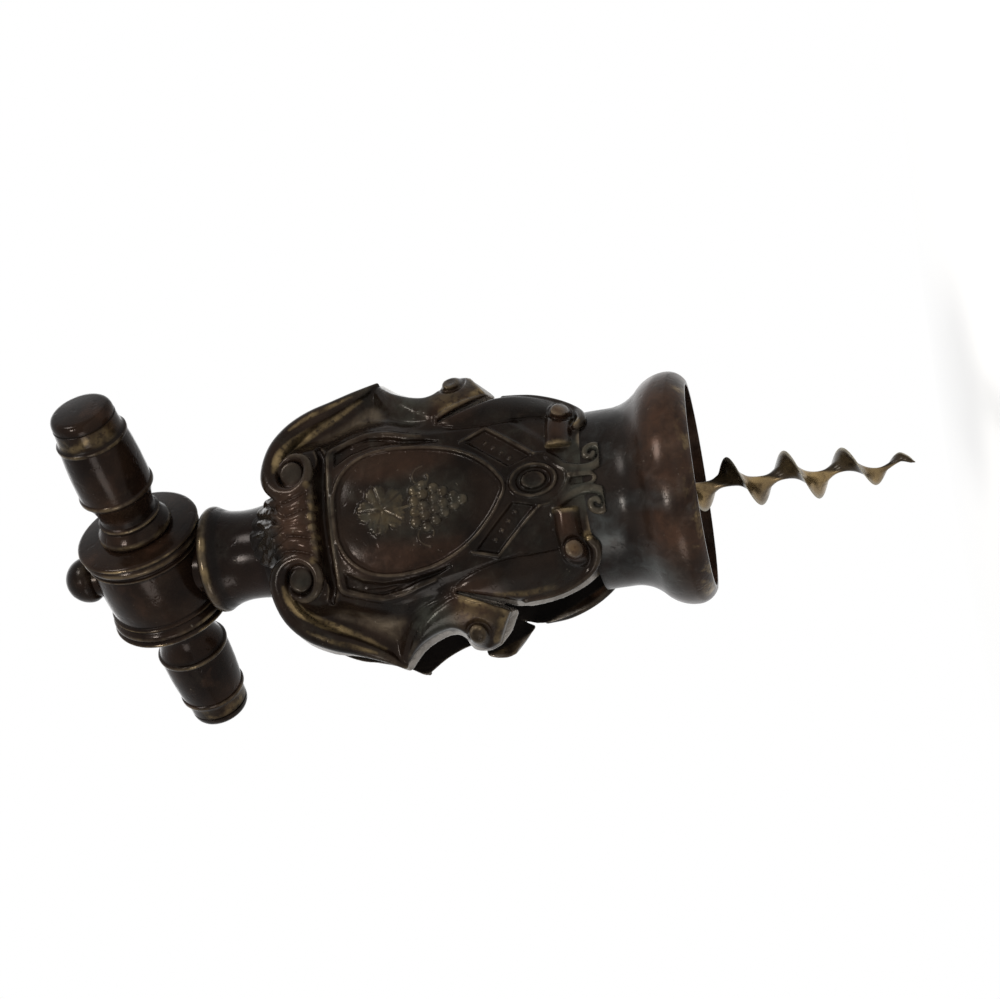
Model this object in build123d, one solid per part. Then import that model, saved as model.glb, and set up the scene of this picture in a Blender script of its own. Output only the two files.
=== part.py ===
from build123d import *
import math
import os

# Open-frame corkscrew: a bell that seats on the bottle, two scrolled plates that carry the neck,
# and a small keg with two turned grips that drives the worm through the neck.
# Millimetres. The origin is the centre of the bell's mouth, on the plane that meets the bottle.
# +Z runs up the worm's axis to the handle, and the front plate faces -Y.

# Bell
mouth_r = 17.7
mouth_land = 1.4
rim_flat_w = 0.8
rim_r = 20.5
rim_z = 3.3
throat_r = 15.8
throat_start_z = 14.0
bell_h = 18.8
frame_wall = 2.6

# Scrolled plates. A rise is measured up from the bell's top, a drop down from the plates' top.
slot_half = 6.7
cage_half = 5.6
plate_top_z = 75.0
plate_top_half_w = 8.4
plate_bulge = 3.4
relief_h = 0.9
scroll_h = 1.7
sunk_h = 0.7
cove_h = 1.2
edge_band_w = 2.6
edge_band_share = 0.88
corner_share = 0.06
medal_w = 21.4
medal_rise = 12.6
medal_drop = 14.4
medal_ring_w = 1.3
jewel_rise = 8.0
jewel_w = 5.8
jewel_h = 8.6
jewel_ring_w = 0.9
jewel_trough_w = 0.6
volute_x = 9.3
volute_drop = 7.0
volute_r = 4.7
volute_eye_r = 1.6
volute_step = 1.9
volute_band_w = 1.15
cushion_w = 8.6
cushion_h = 6.2
trough_w = 1.8
trough_gap = 0.5
curl_x = 21.9
curl_rise = 21.6
curl_r = 1.7
knob_x = 12.1
knob_rise = 3.0
knob_r = 1.5
foot_strap_w = 3.4
foot_strap_end_x = 5.4

# Neck
neck_h = 12.1
neck_rim_r = 9.85
neck_rim_h = 2.1
neck_waist_r = 8.25
neck_foot_r = 8.8
neck_foot_rise = 3.4
neck_low_drop = 5.4
shoulder_w = 30.0
shoulder_overlap = 1.1

# Running gear in the neck
spindle_r = 4.0
spindle_low_r = 3.2
spindle_low_z = 55.5
bush_wall = 1.9
run_gap = 0.05
fit_gap = 0.02
washer_t = 1.0
washer_lip = 0.35
washer_side_gap = 0.3
collar_wall = 2.4
collar_h = 4.8
collar_pin_r = 0.8

# Keg and grips
handle_turn = 48.9
keg_half = 9.74
keg_hoop_w = 2.14
keg_bead_w = 1.7
keg_hoop_r = 11.45
keg_belly_r = 10.7
keg_end_r = 10.25
keg_gap = 0.3
keg_boss_in = 0.5
tenon_r = 3.0
rod_r = 2.0
rod_reach = 13.0
grip_len = 27.2
grip_r = 6.6
grip_end_r = 5.2
grip_waist_r = 5.35
grip_flange_r = 6.9
grip_flange_w = 2.3
grip_neck_len = 4.9
grip_near_hoop = 9.4
grip_far_hoop = 20.8
grip_taper = 0.45
hoop_out = 0.28

# Dome nut
stud_r = 2.4
stud_len = 4.6
nut_r = 4.4
nut_stem_r = 3.4
nut_stem_h = 1.4
nut_seat_gap = 0.3
nut_h = 7.6

# Worm
worm_r = 4.35
worm_heel = 0.75
worm_pitch = 9.85
worm_crest_z = -4.6
worm_tip_z = -36.3
worm_point_turns = 1.9
worm_point_scale = 0.08
worm_root_turns = 0.6
worm_steps_a_turn = 10
worm_gap = 1.0
worm_back_w = 2.3
worm_edge_w = 0.55
worm_shank_r = 1.9
worm_shank_in = 8.0
worm_pin_r = 0.6

# Places that follow from the sizes above
throat_bore_r = throat_r - frame_wall
slot_edge_x = math.sqrt(throat_r ** 2 - slot_half ** 2)
neck_foot_z = plate_top_z + neck_foot_rise
neck_top_z = neck_foot_z + neck_h
neck_low_z = plate_top_z - neck_low_drop
medal_low_z = bell_h + medal_rise
medal_high_z = plate_top_z - medal_drop
volute_z = plate_top_z - volute_drop
bush_bore_r = spindle_r + run_gap
bush_r = bush_bore_r + bush_wall
washer_r = bush_r + washer_lip
collar_r = spindle_r + collar_wall
keg_boss_r = washer_r - keg_boss_in
keg_seat_z = neck_top_z + washer_t + run_gap
keg_axis_z = neck_top_z + keg_gap + keg_hoop_r
keg_top_z = keg_axis_z + math.sqrt(keg_belly_r ** 2 - (nut_stem_r + nut_seat_gap) ** 2)
collar_top_z = neck_low_z - washer_t - run_gap
grip_bore_len = rod_reach + 0.4


os.makedirs("parts", exist_ok=True)


def save(shape, node):
    export_step(shape, f"parts/{node}.step")


def ring(outer_r, inner_r, low_z, high_z):
    """A plain ring about the worm's axis."""
    ring_face = Circle(outer_r) - Circle(inner_r)
    return Pos(0, 0, low_z) * extrude(ring_face, high_z - low_z)


def post(radius, low_z, high_z):
    """A plain round bar on the worm's axis."""
    return Pos(0, 0, low_z) * extrude(Circle(radius), high_z - low_z)


def turned(profile):
    """A turned piece from a closed half profile drawn as (radius, height) on the XZ plane."""
    return revolve(Plane.XZ * make_face(profile), Axis.Z)


def across(radius, half_len, z, angle=0.0):
    """A round bar through the worm's axis, square to it."""
    bar = Rot(0, 90, 0) * Cylinder(radius, 2 * half_len)
    return Pos(0, 0, z) * Rot(0, 0, angle) * bar


def s_curve(start, end):
    """Two equal arcs that leave the first point and reach the second one upright."""
    middle = ((start[0] + end[0]) / 2, (start[1] + end[1]) / 2)
    first = TangentArc(start, middle, tangent=(0, 1))
    return [first, TangentArc(middle, end, tangent=first % 1)]


def make_bell():
    """The bell: a rolled rim, a flare that takes the bottle's lip and a straight throat."""
    throat_in_z = throat_start_z - 1.0
    profile = [
        Line((mouth_r, 0), (mouth_r + rim_flat_w, 0)),
        TangentArc((rim_r, rim_z), (mouth_r + rim_flat_w, 0), tangent=(0, -1)),
        *s_curve((rim_r, rim_z), (throat_r, throat_start_z)),
        Line((throat_r, throat_start_z), (throat_r, bell_h)),
        Line((throat_r, bell_h), (throat_bore_r, bell_h)),
        Line((throat_bore_r, bell_h), (throat_bore_r, throat_in_z)),
        *s_curve((mouth_r, mouth_land), (throat_bore_r, throat_in_z)),
        Line((mouth_r, mouth_land), (mouth_r, 0)),
    ]
    return turned(profile)


def rise(x, up):
    """A point of a plate's face, measured up from the bell's top."""
    return (x, bell_h + up)


def drop(x, down):
    """A point of a plate's face, measured down from the plates' top."""
    return (x, plate_top_z - down)


# Each section of a plate: height, how far its middle stands in front of the axis, the radius of
# its arc, and the half width that is drawn before the outline trims it
plate_sections = [
    (bell_h, throat_r, throat_r, throat_r - 0.6),
    (bell_h + 3.2, throat_r + 0.2, throat_r + 3.2, throat_r + 1.8),
    (bell_h + 8.2, throat_r + 1.0, throat_r + 6.7, throat_r + 4.2),
    (bell_h + 15.2, throat_r + 1.9, throat_r + 11.7, throat_r + 8.2),
    (bell_h + 22.2, throat_r + 2.6, throat_r + 16.2, throat_r + 10.7),
    (bell_h + 30.2, throat_r + plate_bulge - 0.3, throat_r + 19.2, throat_r + 12.2),
    (plate_top_z - 17.0, throat_r + plate_bulge, throat_r + 19.7, throat_r + 12.2),
    (plate_top_z - 9.0, throat_r + plate_bulge - 0.1, throat_r + 15.2, throat_r + 9.2),
    (plate_top_z - 3.5, throat_r + plate_bulge - 1.0, throat_r + 11.2, throat_r + 6.2),
    (plate_top_z + 1.0, throat_r + plate_bulge - 2.6, throat_r + 7.2, throat_r + 2.7),
]


def plate_shell(out=0.0, depth=frame_wall):
    """The curved plate in front of the worm, its face moved out and its depth taken inwards."""
    faces = []
    for z, front, arc_r, half_w in plate_sections:
        bow = arc_r - math.sqrt(arc_r ** 2 - half_w ** 2)
        face_y = -front - out
        back_y = face_y + depth
        edge = [
            ThreePointArc((-half_w, face_y + bow), (0, face_y), (half_w, face_y + bow)),
            Line((half_w, face_y + bow), (half_w, back_y + bow)),
            ThreePointArc((half_w, back_y + bow), (0, back_y), (-half_w, back_y + bow)),
            Line((-half_w, back_y + bow), (-half_w, face_y + bow)),
        ]
        faces.append(Pos(0, 0, z) * make_face(edge))
    return loft(faces)


# Corners of a plate's right edge: the slit between its shoulder and the ribbon, the ribbon's cut
# end, the curl beside it and the pointed ear above
slit_low = rise(18.3, 13.8)
slit_end = rise(15.0, 23.4)
strap_in = rise(19.2, 15.1)
strap_out = rise(24.0, 18.5)
curl_end = rise(21.0, 23.8)
ear = drop(25.5, 20.9)


def shoulder_edge():
    return Spline((slot_edge_x, bell_h), rise(16.4, 3.4), rise(18.0, 8.2), slit_low)


def ribbon_edges():
    """The ribbon's outer side, from the slit round its cut end and the curl up to the ear."""
    return [
        Line(slit_end, strap_in),
        Line(strap_in, strap_out),
        ThreePointArc(strap_out, rise(24.4, 21.7), curl_end),
        ThreePointArc(curl_end, drop(22.2, 26.6), ear),
    ]


def crest_edge():
    """The rolled upper edge, from the ear over the volute to the neck."""
    return Spline(
        ear, drop(23.4, 17.0), drop(22.0, 12.8), drop(20.9, 8.2), drop(18.4, 3.8), drop(14.2, 1.1),
        (plate_top_half_w, plate_top_z),
    )


def both_sides(edges):
    return edges + [mirror(edge, Plane.YZ) for edge in edges]


def plate_outline():
    right = [shoulder_edge(), Line(slit_low, slit_end), *ribbon_edges(), crest_edge()]
    edges = both_sides(right)
    edges.append(Line((-slot_edge_x, bell_h), (slot_edge_x, bell_h)))
    edges.append(Line((-plate_top_half_w, plate_top_z), (plate_top_half_w, plate_top_z)))
    return make_face(edges)


def edge_band():
    """The rolled bead along a plate's upper edge, from the volute to the ear."""
    crest = crest_edge()
    inner_points = []
    for share in (0.0, 0.15, 0.3, 0.45, 0.6, 0.75, edge_band_share):
        along = crest % share
        inward = Vector(-along.Y, along.X)
        width = edge_band_w * min(1.0, 0.25 + 3 * share)
        inner_points.append(crest @ share + inward * width)
    inner = Spline(*inner_points)
    cut = crest.trim(0.0, edge_band_share)
    return make_face([cut, inner, Line(cut @ 0, inner @ 0), Line(cut @ 1, inner @ 1)])


def ribbon():
    """The broad strap that falls from the ear to its cut end, and stops short of both corners."""
    slit_side, end_side, curl_side, ear_side = ribbon_edges()
    slit_side = slit_side.trim(corner_share, 1.0)
    ear_side = ear_side.trim(0.0, 1.0 - corner_share)
    inner = Spline(ear_side @ 1, drop(20.6, 24.4), drop(16.6, 27.0), slit_side @ 0)
    return make_face([slit_side, end_side, curl_side, ear_side, inner])


def shoulder_roll():
    """The broad moulding below the slit, down to the bell."""
    slit_side = Line(slit_low, slit_end).trim(0.0, 1.0 - corner_share)
    inner = Spline(
        slit_side @ 1, rise(12.9, 17.0), rise(12.6, 10.6), rise(13.6, 4.6), (slot_edge_x, bell_h)
    )
    return make_face([shoulder_edge(), slit_side, inner])


def foot_strap():
    length = knob_x - foot_strap_end_x
    return Pos(rise(foot_strap_end_x + length / 2, knob_rise)) * Rectangle(length, foot_strap_w)


def corner_panel():
    """The sunk panel between the medallion and the shield's side border."""
    top_in = drop(9.9, 14.2)
    top_out = drop(11.9, 14.2)
    side = drop(13.8, 20.2)
    low = drop(11.3, 31.8)
    inner = Spline(low, drop(12.0, 25.0), drop(11.6, 19.4), top_in)
    return make_face([inner, Line(top_in, top_out), Line(top_out, side), Line(side, low)])


def lower_panel():
    corners = [rise(9.4, 18.8), rise(10.7, 15.4), rise(4.6, 8.4), rise(3.6, 11.6)]
    return make_face(Polyline(*corners, close=True))


def cove():
    """The hollow between the rolled crest, the volute and the shield."""
    top = drop(14.8, 9.6)
    outer_end = drop(22.0, 19.6)
    ridge_end = drop(16.6, 23.8)
    outer = Spline(top, drop(17.6, 12.6), drop(19.6, 16.2), outer_end)
    inner = Spline(ridge_end, drop(16.0, 19.0), drop(14.9, 14.2), top)
    return make_face([outer, Line(outer_end, ridge_end), inner])


def egg(grow=0.0):
    """The medallion's outline, rounder at its top."""
    half_w = medal_w / 2 + grow
    low = medal_low_z - grow
    high = medal_high_z + grow
    tall = high - low
    right = Spline(
        (0, low), (0.74 * half_w, low + 0.26 * tall), (half_w, low + 0.62 * tall),
        (0.72 * half_w, low + 0.91 * tall), (0, high),
        tangents=((1, 0.25), (-1, 0)),
    )
    return make_face(both_sides([right]))


def volute_face(side):
    """A flat spiral band drawn as half circles that step inwards."""
    outer = []
    inner = []
    radius = volute_r
    centre = volute_x
    toward = -1
    for _ in range(3):
        for edges, r in ((outer, radius), (inner, radius - volute_band_w)):
            start = (centre + toward * r, volute_z)
            end = (centre - toward * r, volute_z)
            edges.append(ThreePointArc(start, (centre, volute_z - toward * r), end))
        step = volute_step / 2
        centre += toward * -1 * step
        radius -= step
        toward = -toward
    first = Line(outer[0] @ 0, inner[0] @ 0)
    last = Line(outer[-1] @ 1, inner[-1] @ 1)
    band = make_face(outer + inner + [first, last])
    return band if side > 0 else mirror(band, Plane.YZ)


def prism(face):
    return extrude(Plane.XZ * face, 2 * rim_r)


def raised(face, height):
    """Relief that follows the plate's curve: the flat shape cut out of a shell laid on it."""
    return prism(face) & plate_shell(height, height + frame_wall / 2)


def sunk(face, depth):
    """A recess that follows the plate's curve."""
    return prism(face) & plate_shell(frame_wall, frame_wall + depth)


def make_front_plate(shoulder):
    plate = prism(plate_outline()) & plate_shell()
    trough_z = volute_z - cushion_h / 2 - trough_gap - trough_w / 2
    plate -= sunk(Pos(0, trough_z) * Rectangle(2 * volute_x - volute_r, trough_w), cove_h)
    for draw, depth in ((cove, cove_h), (corner_panel, sunk_h), (lower_panel, sunk_h)):
        plate -= sunk(draw(), depth)
        plate -= sunk(mirror(draw(), Plane.YZ), depth)
    plate += raised(egg() - egg(-medal_ring_w), relief_h)
    jewel_ring = Ellipse(jewel_w / 2, jewel_h / 2)
    jewel_ring -= Ellipse(jewel_w / 2 - jewel_ring_w, jewel_h / 2 - jewel_ring_w)
    stone_in = jewel_ring_w + jewel_trough_w
    stone = Ellipse(jewel_w / 2 - stone_in, jewel_h / 2 - stone_in)
    plate += raised(Pos(rise(0, jewel_rise)) * (jewel_ring + stone), relief_h)
    for draw in (edge_band, ribbon, shoulder_roll, foot_strap):
        plate += raised(draw(), relief_h)
        plate += raised(mirror(draw(), Plane.YZ), relief_h)
    plate += raised(Pos(0, volute_z) * RectangleRounded(cushion_w, cushion_h, cushion_h / 3), scroll_h)
    for side in (1, -1):
        plate += raised(Pos(side * volute_x, volute_z) * Circle(volute_eye_r), scroll_h)
        plate += raised(volute_face(side), scroll_h)
        plate += raised(Pos(rise(side * curl_x, curl_rise)) * Circle(curl_r), scroll_h)
        plate += raised(Pos(rise(side * knob_x, knob_rise)) * Circle(knob_r), scroll_h)
    side_slot = Box(4 * rim_r, 2 * cage_half, 3 * plate_top_z)
    return plate - shoulder - side_slot


def make_neck():
    rim_low = neck_top_z - neck_rim_h
    rim_foot_r = neck_rim_r - 0.4
    rim_top_r = neck_rim_r - 0.7
    turned_part = [
        Line((bush_r, neck_foot_z), (bush_r, neck_top_z)),
        Line((bush_r, neck_top_z), (rim_top_r, neck_top_z)),
        ThreePointArc((rim_top_r, neck_top_z), (neck_rim_r, neck_top_z - 1.1), (rim_foot_r, rim_low)),
        Spline(
            (rim_foot_r, rim_low), (neck_waist_r + 0.6, rim_low - 1.3),
            (neck_waist_r, rim_low - 5.5), (neck_foot_r, neck_foot_z),
        ),
        Line((neck_foot_r, neck_foot_z), (bush_r, neck_foot_z)),
    ]
    # The shoulder reaches a little into the plates' walls, which are cut to seat on it
    across_half = shoulder_w / 2
    reach = throat_r + shoulder_overlap
    shoulder = loft([
        Pos(0, 0, neck_low_z) * Ellipse(across_half, reach),
        Pos(0, 0, neck_low_z + 2.4) * Ellipse(across_half - 1.6, reach - 0.6),
        Pos(0, 0, neck_low_z + 5.6) * Ellipse(neck_foot_r + 1.8, neck_foot_r + 3.8),
        Pos(0, 0, neck_foot_z) * Ellipse(neck_foot_r, neck_foot_r),
    ])
    bore = post(bush_r, neck_low_z - 1, neck_foot_z + 1)
    return turned(turned_part) + (shoulder - bore)


def make_spindle():
    shape = post(spindle_r, collar_top_z - collar_h, keg_seat_z)
    shape += post(spindle_low_r, spindle_low_z, collar_top_z - collar_h)
    shape += post(tenon_r, keg_seat_z, keg_top_z - fit_gap)
    shape += post(stud_r, keg_top_z - fit_gap, keg_top_z + stud_len)
    shape -= across(rod_r + fit_gap, 10, keg_axis_z, -handle_turn)
    shape -= across(collar_pin_r, 10, collar_top_z - collar_h / 2, 90 - handle_turn)
    shape -= post(worm_shank_r + fit_gap, spindle_low_z, spindle_low_z + worm_shank_in + 0.3)
    shape -= across(worm_pin_r, 10, spindle_low_z + worm_shank_in / 2, -handle_turn)
    return shape


def make_stop_collar():
    low = collar_top_z - collar_h
    shape = ring(collar_r, spindle_r + fit_gap, low, collar_top_z)
    shape = chamfer(shape.edges().filter_by(GeomType.CIRCLE).group_by(SortBy.RADIUS)[-1], 0.5)
    return shape - across(collar_pin_r, 10, low + collar_h / 2, 90 - handle_turn)


def worm_angle(z):
    return 360.0 * (z - worm_crest_z) / worm_pitch


def worm_section(z, scale=1.0, root=0.0):
    """The worm's section at a height: an off-centre blade, thick at its heel and thin at its edge.

    Its size is scaled down towards the point, and drawn in under the shank where root is 1.
    """
    reach = scale * (worm_r + root * (worm_shank_r - 0.1 - worm_r))
    heel = scale * (worm_heel + root * worm_heel)
    back = scale * worm_back_w / 2
    edge = scale * (worm_edge_w / 2 + root * worm_edge_w)
    outline = Polyline((0, back), (-heel, 0), (0, -back), (reach, -edge), (reach, edge), close=True)
    return Pos(0, 0, z) * Rot(0, 0, worm_angle(z)) * make_face(outline)


def make_worm():
    """The blade winds round the axis in one loft, with a curved point and a round shank."""
    point_top = worm_tip_z + worm_point_turns * worm_pitch
    blade_top = spindle_low_z - worm_gap
    root_low = blade_top - worm_root_turns * worm_pitch
    steps = round((blade_top - worm_tip_z) / worm_pitch * worm_steps_a_turn)
    sections = []
    for i in range(steps + 1):
        z = worm_tip_z + (blade_top - worm_tip_z) * i / steps
        taper = max(0.0, (point_top - z) / (point_top - worm_tip_z))
        scale = worm_point_scale + (1 - worm_point_scale) * math.sqrt(1 - taper ** 2)
        root = max(0.0, (z - root_low) / (blade_top - root_low))
        sections.append(worm_section(z, scale, root))
    worm = loft(sections, ruled=True) + post(worm_shank_r, blade_top, spindle_low_z + worm_shank_in)
    return worm - across(worm_pin_r, 10, spindle_low_z + worm_shank_in / 2, -handle_turn)


def on_handle(shape):
    """Takes a piece drawn along +X about the origin to its place on the handle's axis."""
    return Pos(0, 0, keg_axis_z) * Rot(0, 0, -handle_turn) * shape


def make_keg():
    hoop_x = keg_half - keg_hoop_w
    bead_x = hoop_x - keg_bead_w
    bead_r = keg_end_r + 0.5
    groove_r = keg_end_r + 0.25
    half = [
        TangentArc((0, keg_belly_r), (bead_x, keg_end_r), tangent=(1, 0)),
        Line((bead_x, keg_end_r), (bead_x + 0.4, bead_r)),
        Line((bead_x + 0.4, bead_r), (bead_x + 1.1, bead_r)),
        Line((bead_x + 1.1, bead_r), (hoop_x - 0.2, groove_r)),
        Line((hoop_x - 0.2, groove_r), (hoop_x, keg_hoop_r - 0.3)),
        ThreePointArc(
            (hoop_x, keg_hoop_r - 0.3), (hoop_x + 0.9, keg_hoop_r), (keg_half - 0.4, keg_hoop_r - 0.3)
        ),
        Line((keg_half - 0.4, keg_hoop_r - 0.3), (keg_half, keg_hoop_r - 0.8)),
        Line((keg_half, keg_hoop_r - 0.8), (keg_half, 0)),
    ]
    outline = half + [mirror(edge, Plane.YZ) for edge in half]
    outline.append(Line((-keg_half, 0), (keg_half, 0)))
    keg = on_handle(revolve(make_face(outline), Axis.X))
    keg -= post(washer_r + washer_side_gap, keg_axis_z - keg_hoop_r, keg_seat_z)
    keg += ring(keg_boss_r, tenon_r + fit_gap, keg_seat_z, keg_axis_z)
    keg -= post(nut_stem_r + nut_seat_gap, keg_top_z, keg_axis_z + keg_hoop_r)
    keg -= post(tenon_r + fit_gap, keg_seat_z, keg_axis_z + keg_hoop_r)
    keg -= across(rod_r + fit_gap, keg_half + 1, keg_axis_z, -handle_turn)
    return keg


def make_grip(side):
    """A turned grip, drawn along +X from the keg's end face."""
    seat = keg_half
    end = seat + grip_len
    flange_end = seat + grip_flange_w
    neck_end = seat + grip_neck_len
    near_hoop = seat + grip_near_hoop
    far_hoop = seat + grip_far_hoop
    far_r = grip_r - grip_taper
    outline = [
        Line((seat, rod_r + fit_gap), (seat, grip_flange_r - 0.5)),
        ThreePointArc(
            (seat, grip_flange_r - 0.5), (seat + 1.2, grip_flange_r), (flange_end, grip_flange_r - 0.7)
        ),
        TangentArc((neck_end, grip_waist_r), (flange_end, grip_flange_r - 0.7), tangent=(-1, -0.1)),
        Line((neck_end, grip_waist_r), (neck_end, grip_waist_r + hoop_out)),
        Line((neck_end, grip_waist_r + hoop_out), (neck_end + 1.1, grip_waist_r + hoop_out)),
        Line((neck_end + 1.1, grip_waist_r + hoop_out), (near_hoop, grip_r - 0.15)),
        Line((near_hoop, grip_r - 0.15), (near_hoop + 0.25, grip_r + hoop_out)),
        Line((near_hoop + 0.25, grip_r + hoop_out), (near_hoop + 1.0, grip_r + hoop_out)),
        Line((near_hoop + 1.0, grip_r + hoop_out), (near_hoop + 1.2, grip_r)),
        TangentArc((near_hoop + 1.2, grip_r), (far_hoop, far_r), tangent=(1, 0.03)),
        Line((far_hoop, far_r), (far_hoop + 0.25, far_r + hoop_out)),
        Line((far_hoop + 0.25, far_r + hoop_out), (far_hoop + 0.9, far_r + hoop_out - 0.1)),
        Line((far_hoop + 0.9, far_r + hoop_out - 0.1), (far_hoop + 1.1, far_r - 0.2)),
        ThreePointArc(
            (far_hoop + 1.1, far_r - 0.2), (end - 2.0, grip_end_r + 0.4), (end - 0.4, grip_end_r)
        ),
        Line((end - 0.4, grip_end_r), (end, grip_end_r - 0.4)),
        Line((end, grip_end_r - 0.4), (end, 0)),
        Line((end, 0), (seat + grip_bore_len, 0)),
        Line((seat + grip_bore_len, 0), (seat + grip_bore_len, rod_r + fit_gap)),
        Line((seat + grip_bore_len, rod_r + fit_gap), (seat, rod_r + fit_gap)),
    ]
    grip = revolve(make_face(outline), Axis.X)
    return on_handle(Rot(0, 0, 0 if side > 0 else 180) * grip)


def make_dome_nut():
    top = keg_top_z + nut_h
    wide_z = top - nut_r
    dome_mid = nut_r * math.sqrt(0.5)
    bore_top = keg_top_z + stud_len + 0.3
    bore_r = stud_r + fit_gap
    outline = [
        Line((bore_r, keg_top_z), (nut_stem_r, keg_top_z)),
        Line((nut_stem_r, keg_top_z), (nut_stem_r, keg_top_z + nut_stem_h)),
        ThreePointArc((nut_stem_r, keg_top_z + nut_stem_h), (nut_r - 0.2, wide_z - 0.9), (nut_r, wide_z)),
        ThreePointArc((nut_r, wide_z), (dome_mid, wide_z + dome_mid), (0, top)),
        Line((0, top), (0, bore_top)),
        Line((0, bore_top), (bore_r, bore_top)),
        Line((bore_r, bore_top), (bore_r, keg_top_z)),
    ]
    return turned(outline)


neck = make_neck()
front_plate = make_front_plate(neck)

save(make_bell(), "bell")
save(front_plate, "front_cartouche")
save(Rot(0, 0, 180) * front_plate, "back_cartouche")
save(neck, "neck_collar")
save(ring(bush_r, bush_bore_r, neck_low_z, neck_top_z), "neck_bush")
save(ring(washer_r, bush_bore_r, neck_top_z, neck_top_z + washer_t), "upper_washer")
save(ring(washer_r, bush_bore_r, neck_low_z - washer_t, neck_low_z), "lower_washer")
save(make_spindle(), "spindle")
save(make_stop_collar(), "stop_collar")
save(across(collar_pin_r, collar_r - 0.3, collar_top_z - collar_h / 2, 90 - handle_turn), "collar_pin")
save(make_worm(), "worm")
worm_pin = across(worm_pin_r, spindle_low_r - 0.1, spindle_low_z + worm_shank_in / 2, -handle_turn)
save(worm_pin, "worm_pin")
save(make_keg(), "keg_hub")
save(make_grip(1), "front_grip")
save(make_grip(-1), "rear_grip")
save(across(rod_r, keg_half + rod_reach, keg_axis_z, -handle_turn), "handle_rod")
save(make_dome_nut(), "dome_nut")
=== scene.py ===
import math

import bmesh
import bpy
import numpy as np
import openvdb
from mathutils import Matrix, Vector


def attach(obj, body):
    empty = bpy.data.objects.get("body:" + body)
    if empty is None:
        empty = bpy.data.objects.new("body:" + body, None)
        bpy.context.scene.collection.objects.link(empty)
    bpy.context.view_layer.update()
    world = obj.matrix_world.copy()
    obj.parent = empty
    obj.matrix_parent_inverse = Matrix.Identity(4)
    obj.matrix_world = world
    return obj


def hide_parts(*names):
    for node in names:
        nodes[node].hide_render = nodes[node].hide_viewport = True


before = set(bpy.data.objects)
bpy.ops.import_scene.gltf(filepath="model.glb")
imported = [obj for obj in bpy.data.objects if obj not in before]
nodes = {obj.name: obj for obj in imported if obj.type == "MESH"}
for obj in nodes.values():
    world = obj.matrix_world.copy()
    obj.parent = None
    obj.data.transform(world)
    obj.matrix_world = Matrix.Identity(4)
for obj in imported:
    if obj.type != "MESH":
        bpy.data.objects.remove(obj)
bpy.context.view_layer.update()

MM = 0.001

# Sculpting: from here to the materials every length is in millimetres, in the frame that the CAD uses


def step(low, high, x):
    """A smooth rise from 0 at low to 1 at high, or a fall where low is the larger."""
    t = np.clip((x - low) / (high - low), 0, 1)
    return t * t * (3 - 2 * t)


def hump(x, half, middle=0.0):
    """One at the middle, falling in a round curve to nothing at half a width away."""
    return np.clip(1 - ((x - middle) / half) ** 2, 0, 1)


def soft_max(a, b, k):
    """The larger of two fields, rounded over about k where they meet."""
    h = np.clip(0.5 + 0.5 * (a - b) / k, 0, 1)
    return b * (1 - h) + a * h + k * h * (1 - h)


def soft_min(a, b, k):
    return -soft_max(-a, -b, k)


def curve(points, per_span=10):
    """A smooth run through the points; any further columns are smoothed the same way."""
    p = np.array(points, float)
    p = np.vstack([2 * p[0] - p[1], p, 2 * p[-1] - p[-2]])
    out = []
    for i in range(1, len(p) - 2):
        a, b, c, d = p[i - 1], p[i], p[i + 1], p[i + 2]
        square, cube = 2 * a - 5 * b + 4 * c - d, 3 * b - a - 3 * c + d
        for t in np.arange(per_span) / per_span:
            out.append(0.5 * (2 * b + (c - a) * t + square * t**2 + cube * t**3))
    out.append(p[-2])
    return np.array(out)


def run_of(points, bend):
    """The points as they are, or a smooth run through them."""
    return curve(points) if bend else np.array(points, float)


def smooth_table(z, keys, values, width):
    """A table's values at even heights z, evened out over a width."""
    v = np.interp(z, keys, values)
    n = max(3, int(width / abs(z[1] - z[0])) | 1)
    kernel = np.hanning(n + 2)[1:-1]
    kernel /= kernel.sum()
    return np.convolve(np.pad(v, n // 2, mode="edge"), kernel, mode="valid")


def blur(f, n):
    """Box blur by n cells each way, twice, along every axis."""
    span = 2 * n + 1
    pad = [(n + 1, n)] + [(0, 0)] * (f.ndim - 1)
    for axis in range(f.ndim):
        f = np.moveaxis(f, axis, 0)
        for _ in range(2):
            c = np.cumsum(np.pad(f, pad, mode="edge"), axis=0, dtype=np.float64)
            f = ((c[span:] - c[:-span]) / span).astype(np.float32)
        f = np.moveaxis(f, 0, axis)
    return f


def nearest(A, Z, pts):
    """Distance to a run of points, and the run's further columns at the nearest place."""
    best = np.full(A.shape, 1e9)
    extra = [np.zeros(A.shape) for _ in range(np.shape(pts)[1] - 2)]
    for p, q in zip(pts[:-1], pts[1:]):
        dx, dz = q[0] - p[0], q[1] - p[1]
        size = dx * dx + dz * dz + 1e-12
        t = np.clip(((A - p[0]) * dx + (Z - p[1]) * dz) / size, 0, 1)
        d = np.hypot(A - p[0] - t * dx, Z - p[1] - t * dz)
        closer = d < best
        best = np.where(closer, d, best)
        for k, e in enumerate(extra):
            e[...] = np.where(closer, p[2 + k] + t * (q[2 + k] - p[2 + k]), e)
    return best, extra


def enclosed(A, Z, ring):
    """Which places lie inside a closed run of points."""
    odd = np.zeros(A.shape, bool)
    for p, q in zip(ring[:-1], ring[1:]):
        if p[1] != q[1]:
            crosses = (p[1] > Z) != (q[1] > Z)
            odd ^= crosses & (A < p[0] + (Z - p[1]) * (q[0] - p[0]) / (q[1] - p[1]))
    return odd


def cell(values, start, pitch, count):
    """The nearest of a grid's cells to each value."""
    return np.clip(((values - start) / pitch).round().astype(int), 0, count - 1)


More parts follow.
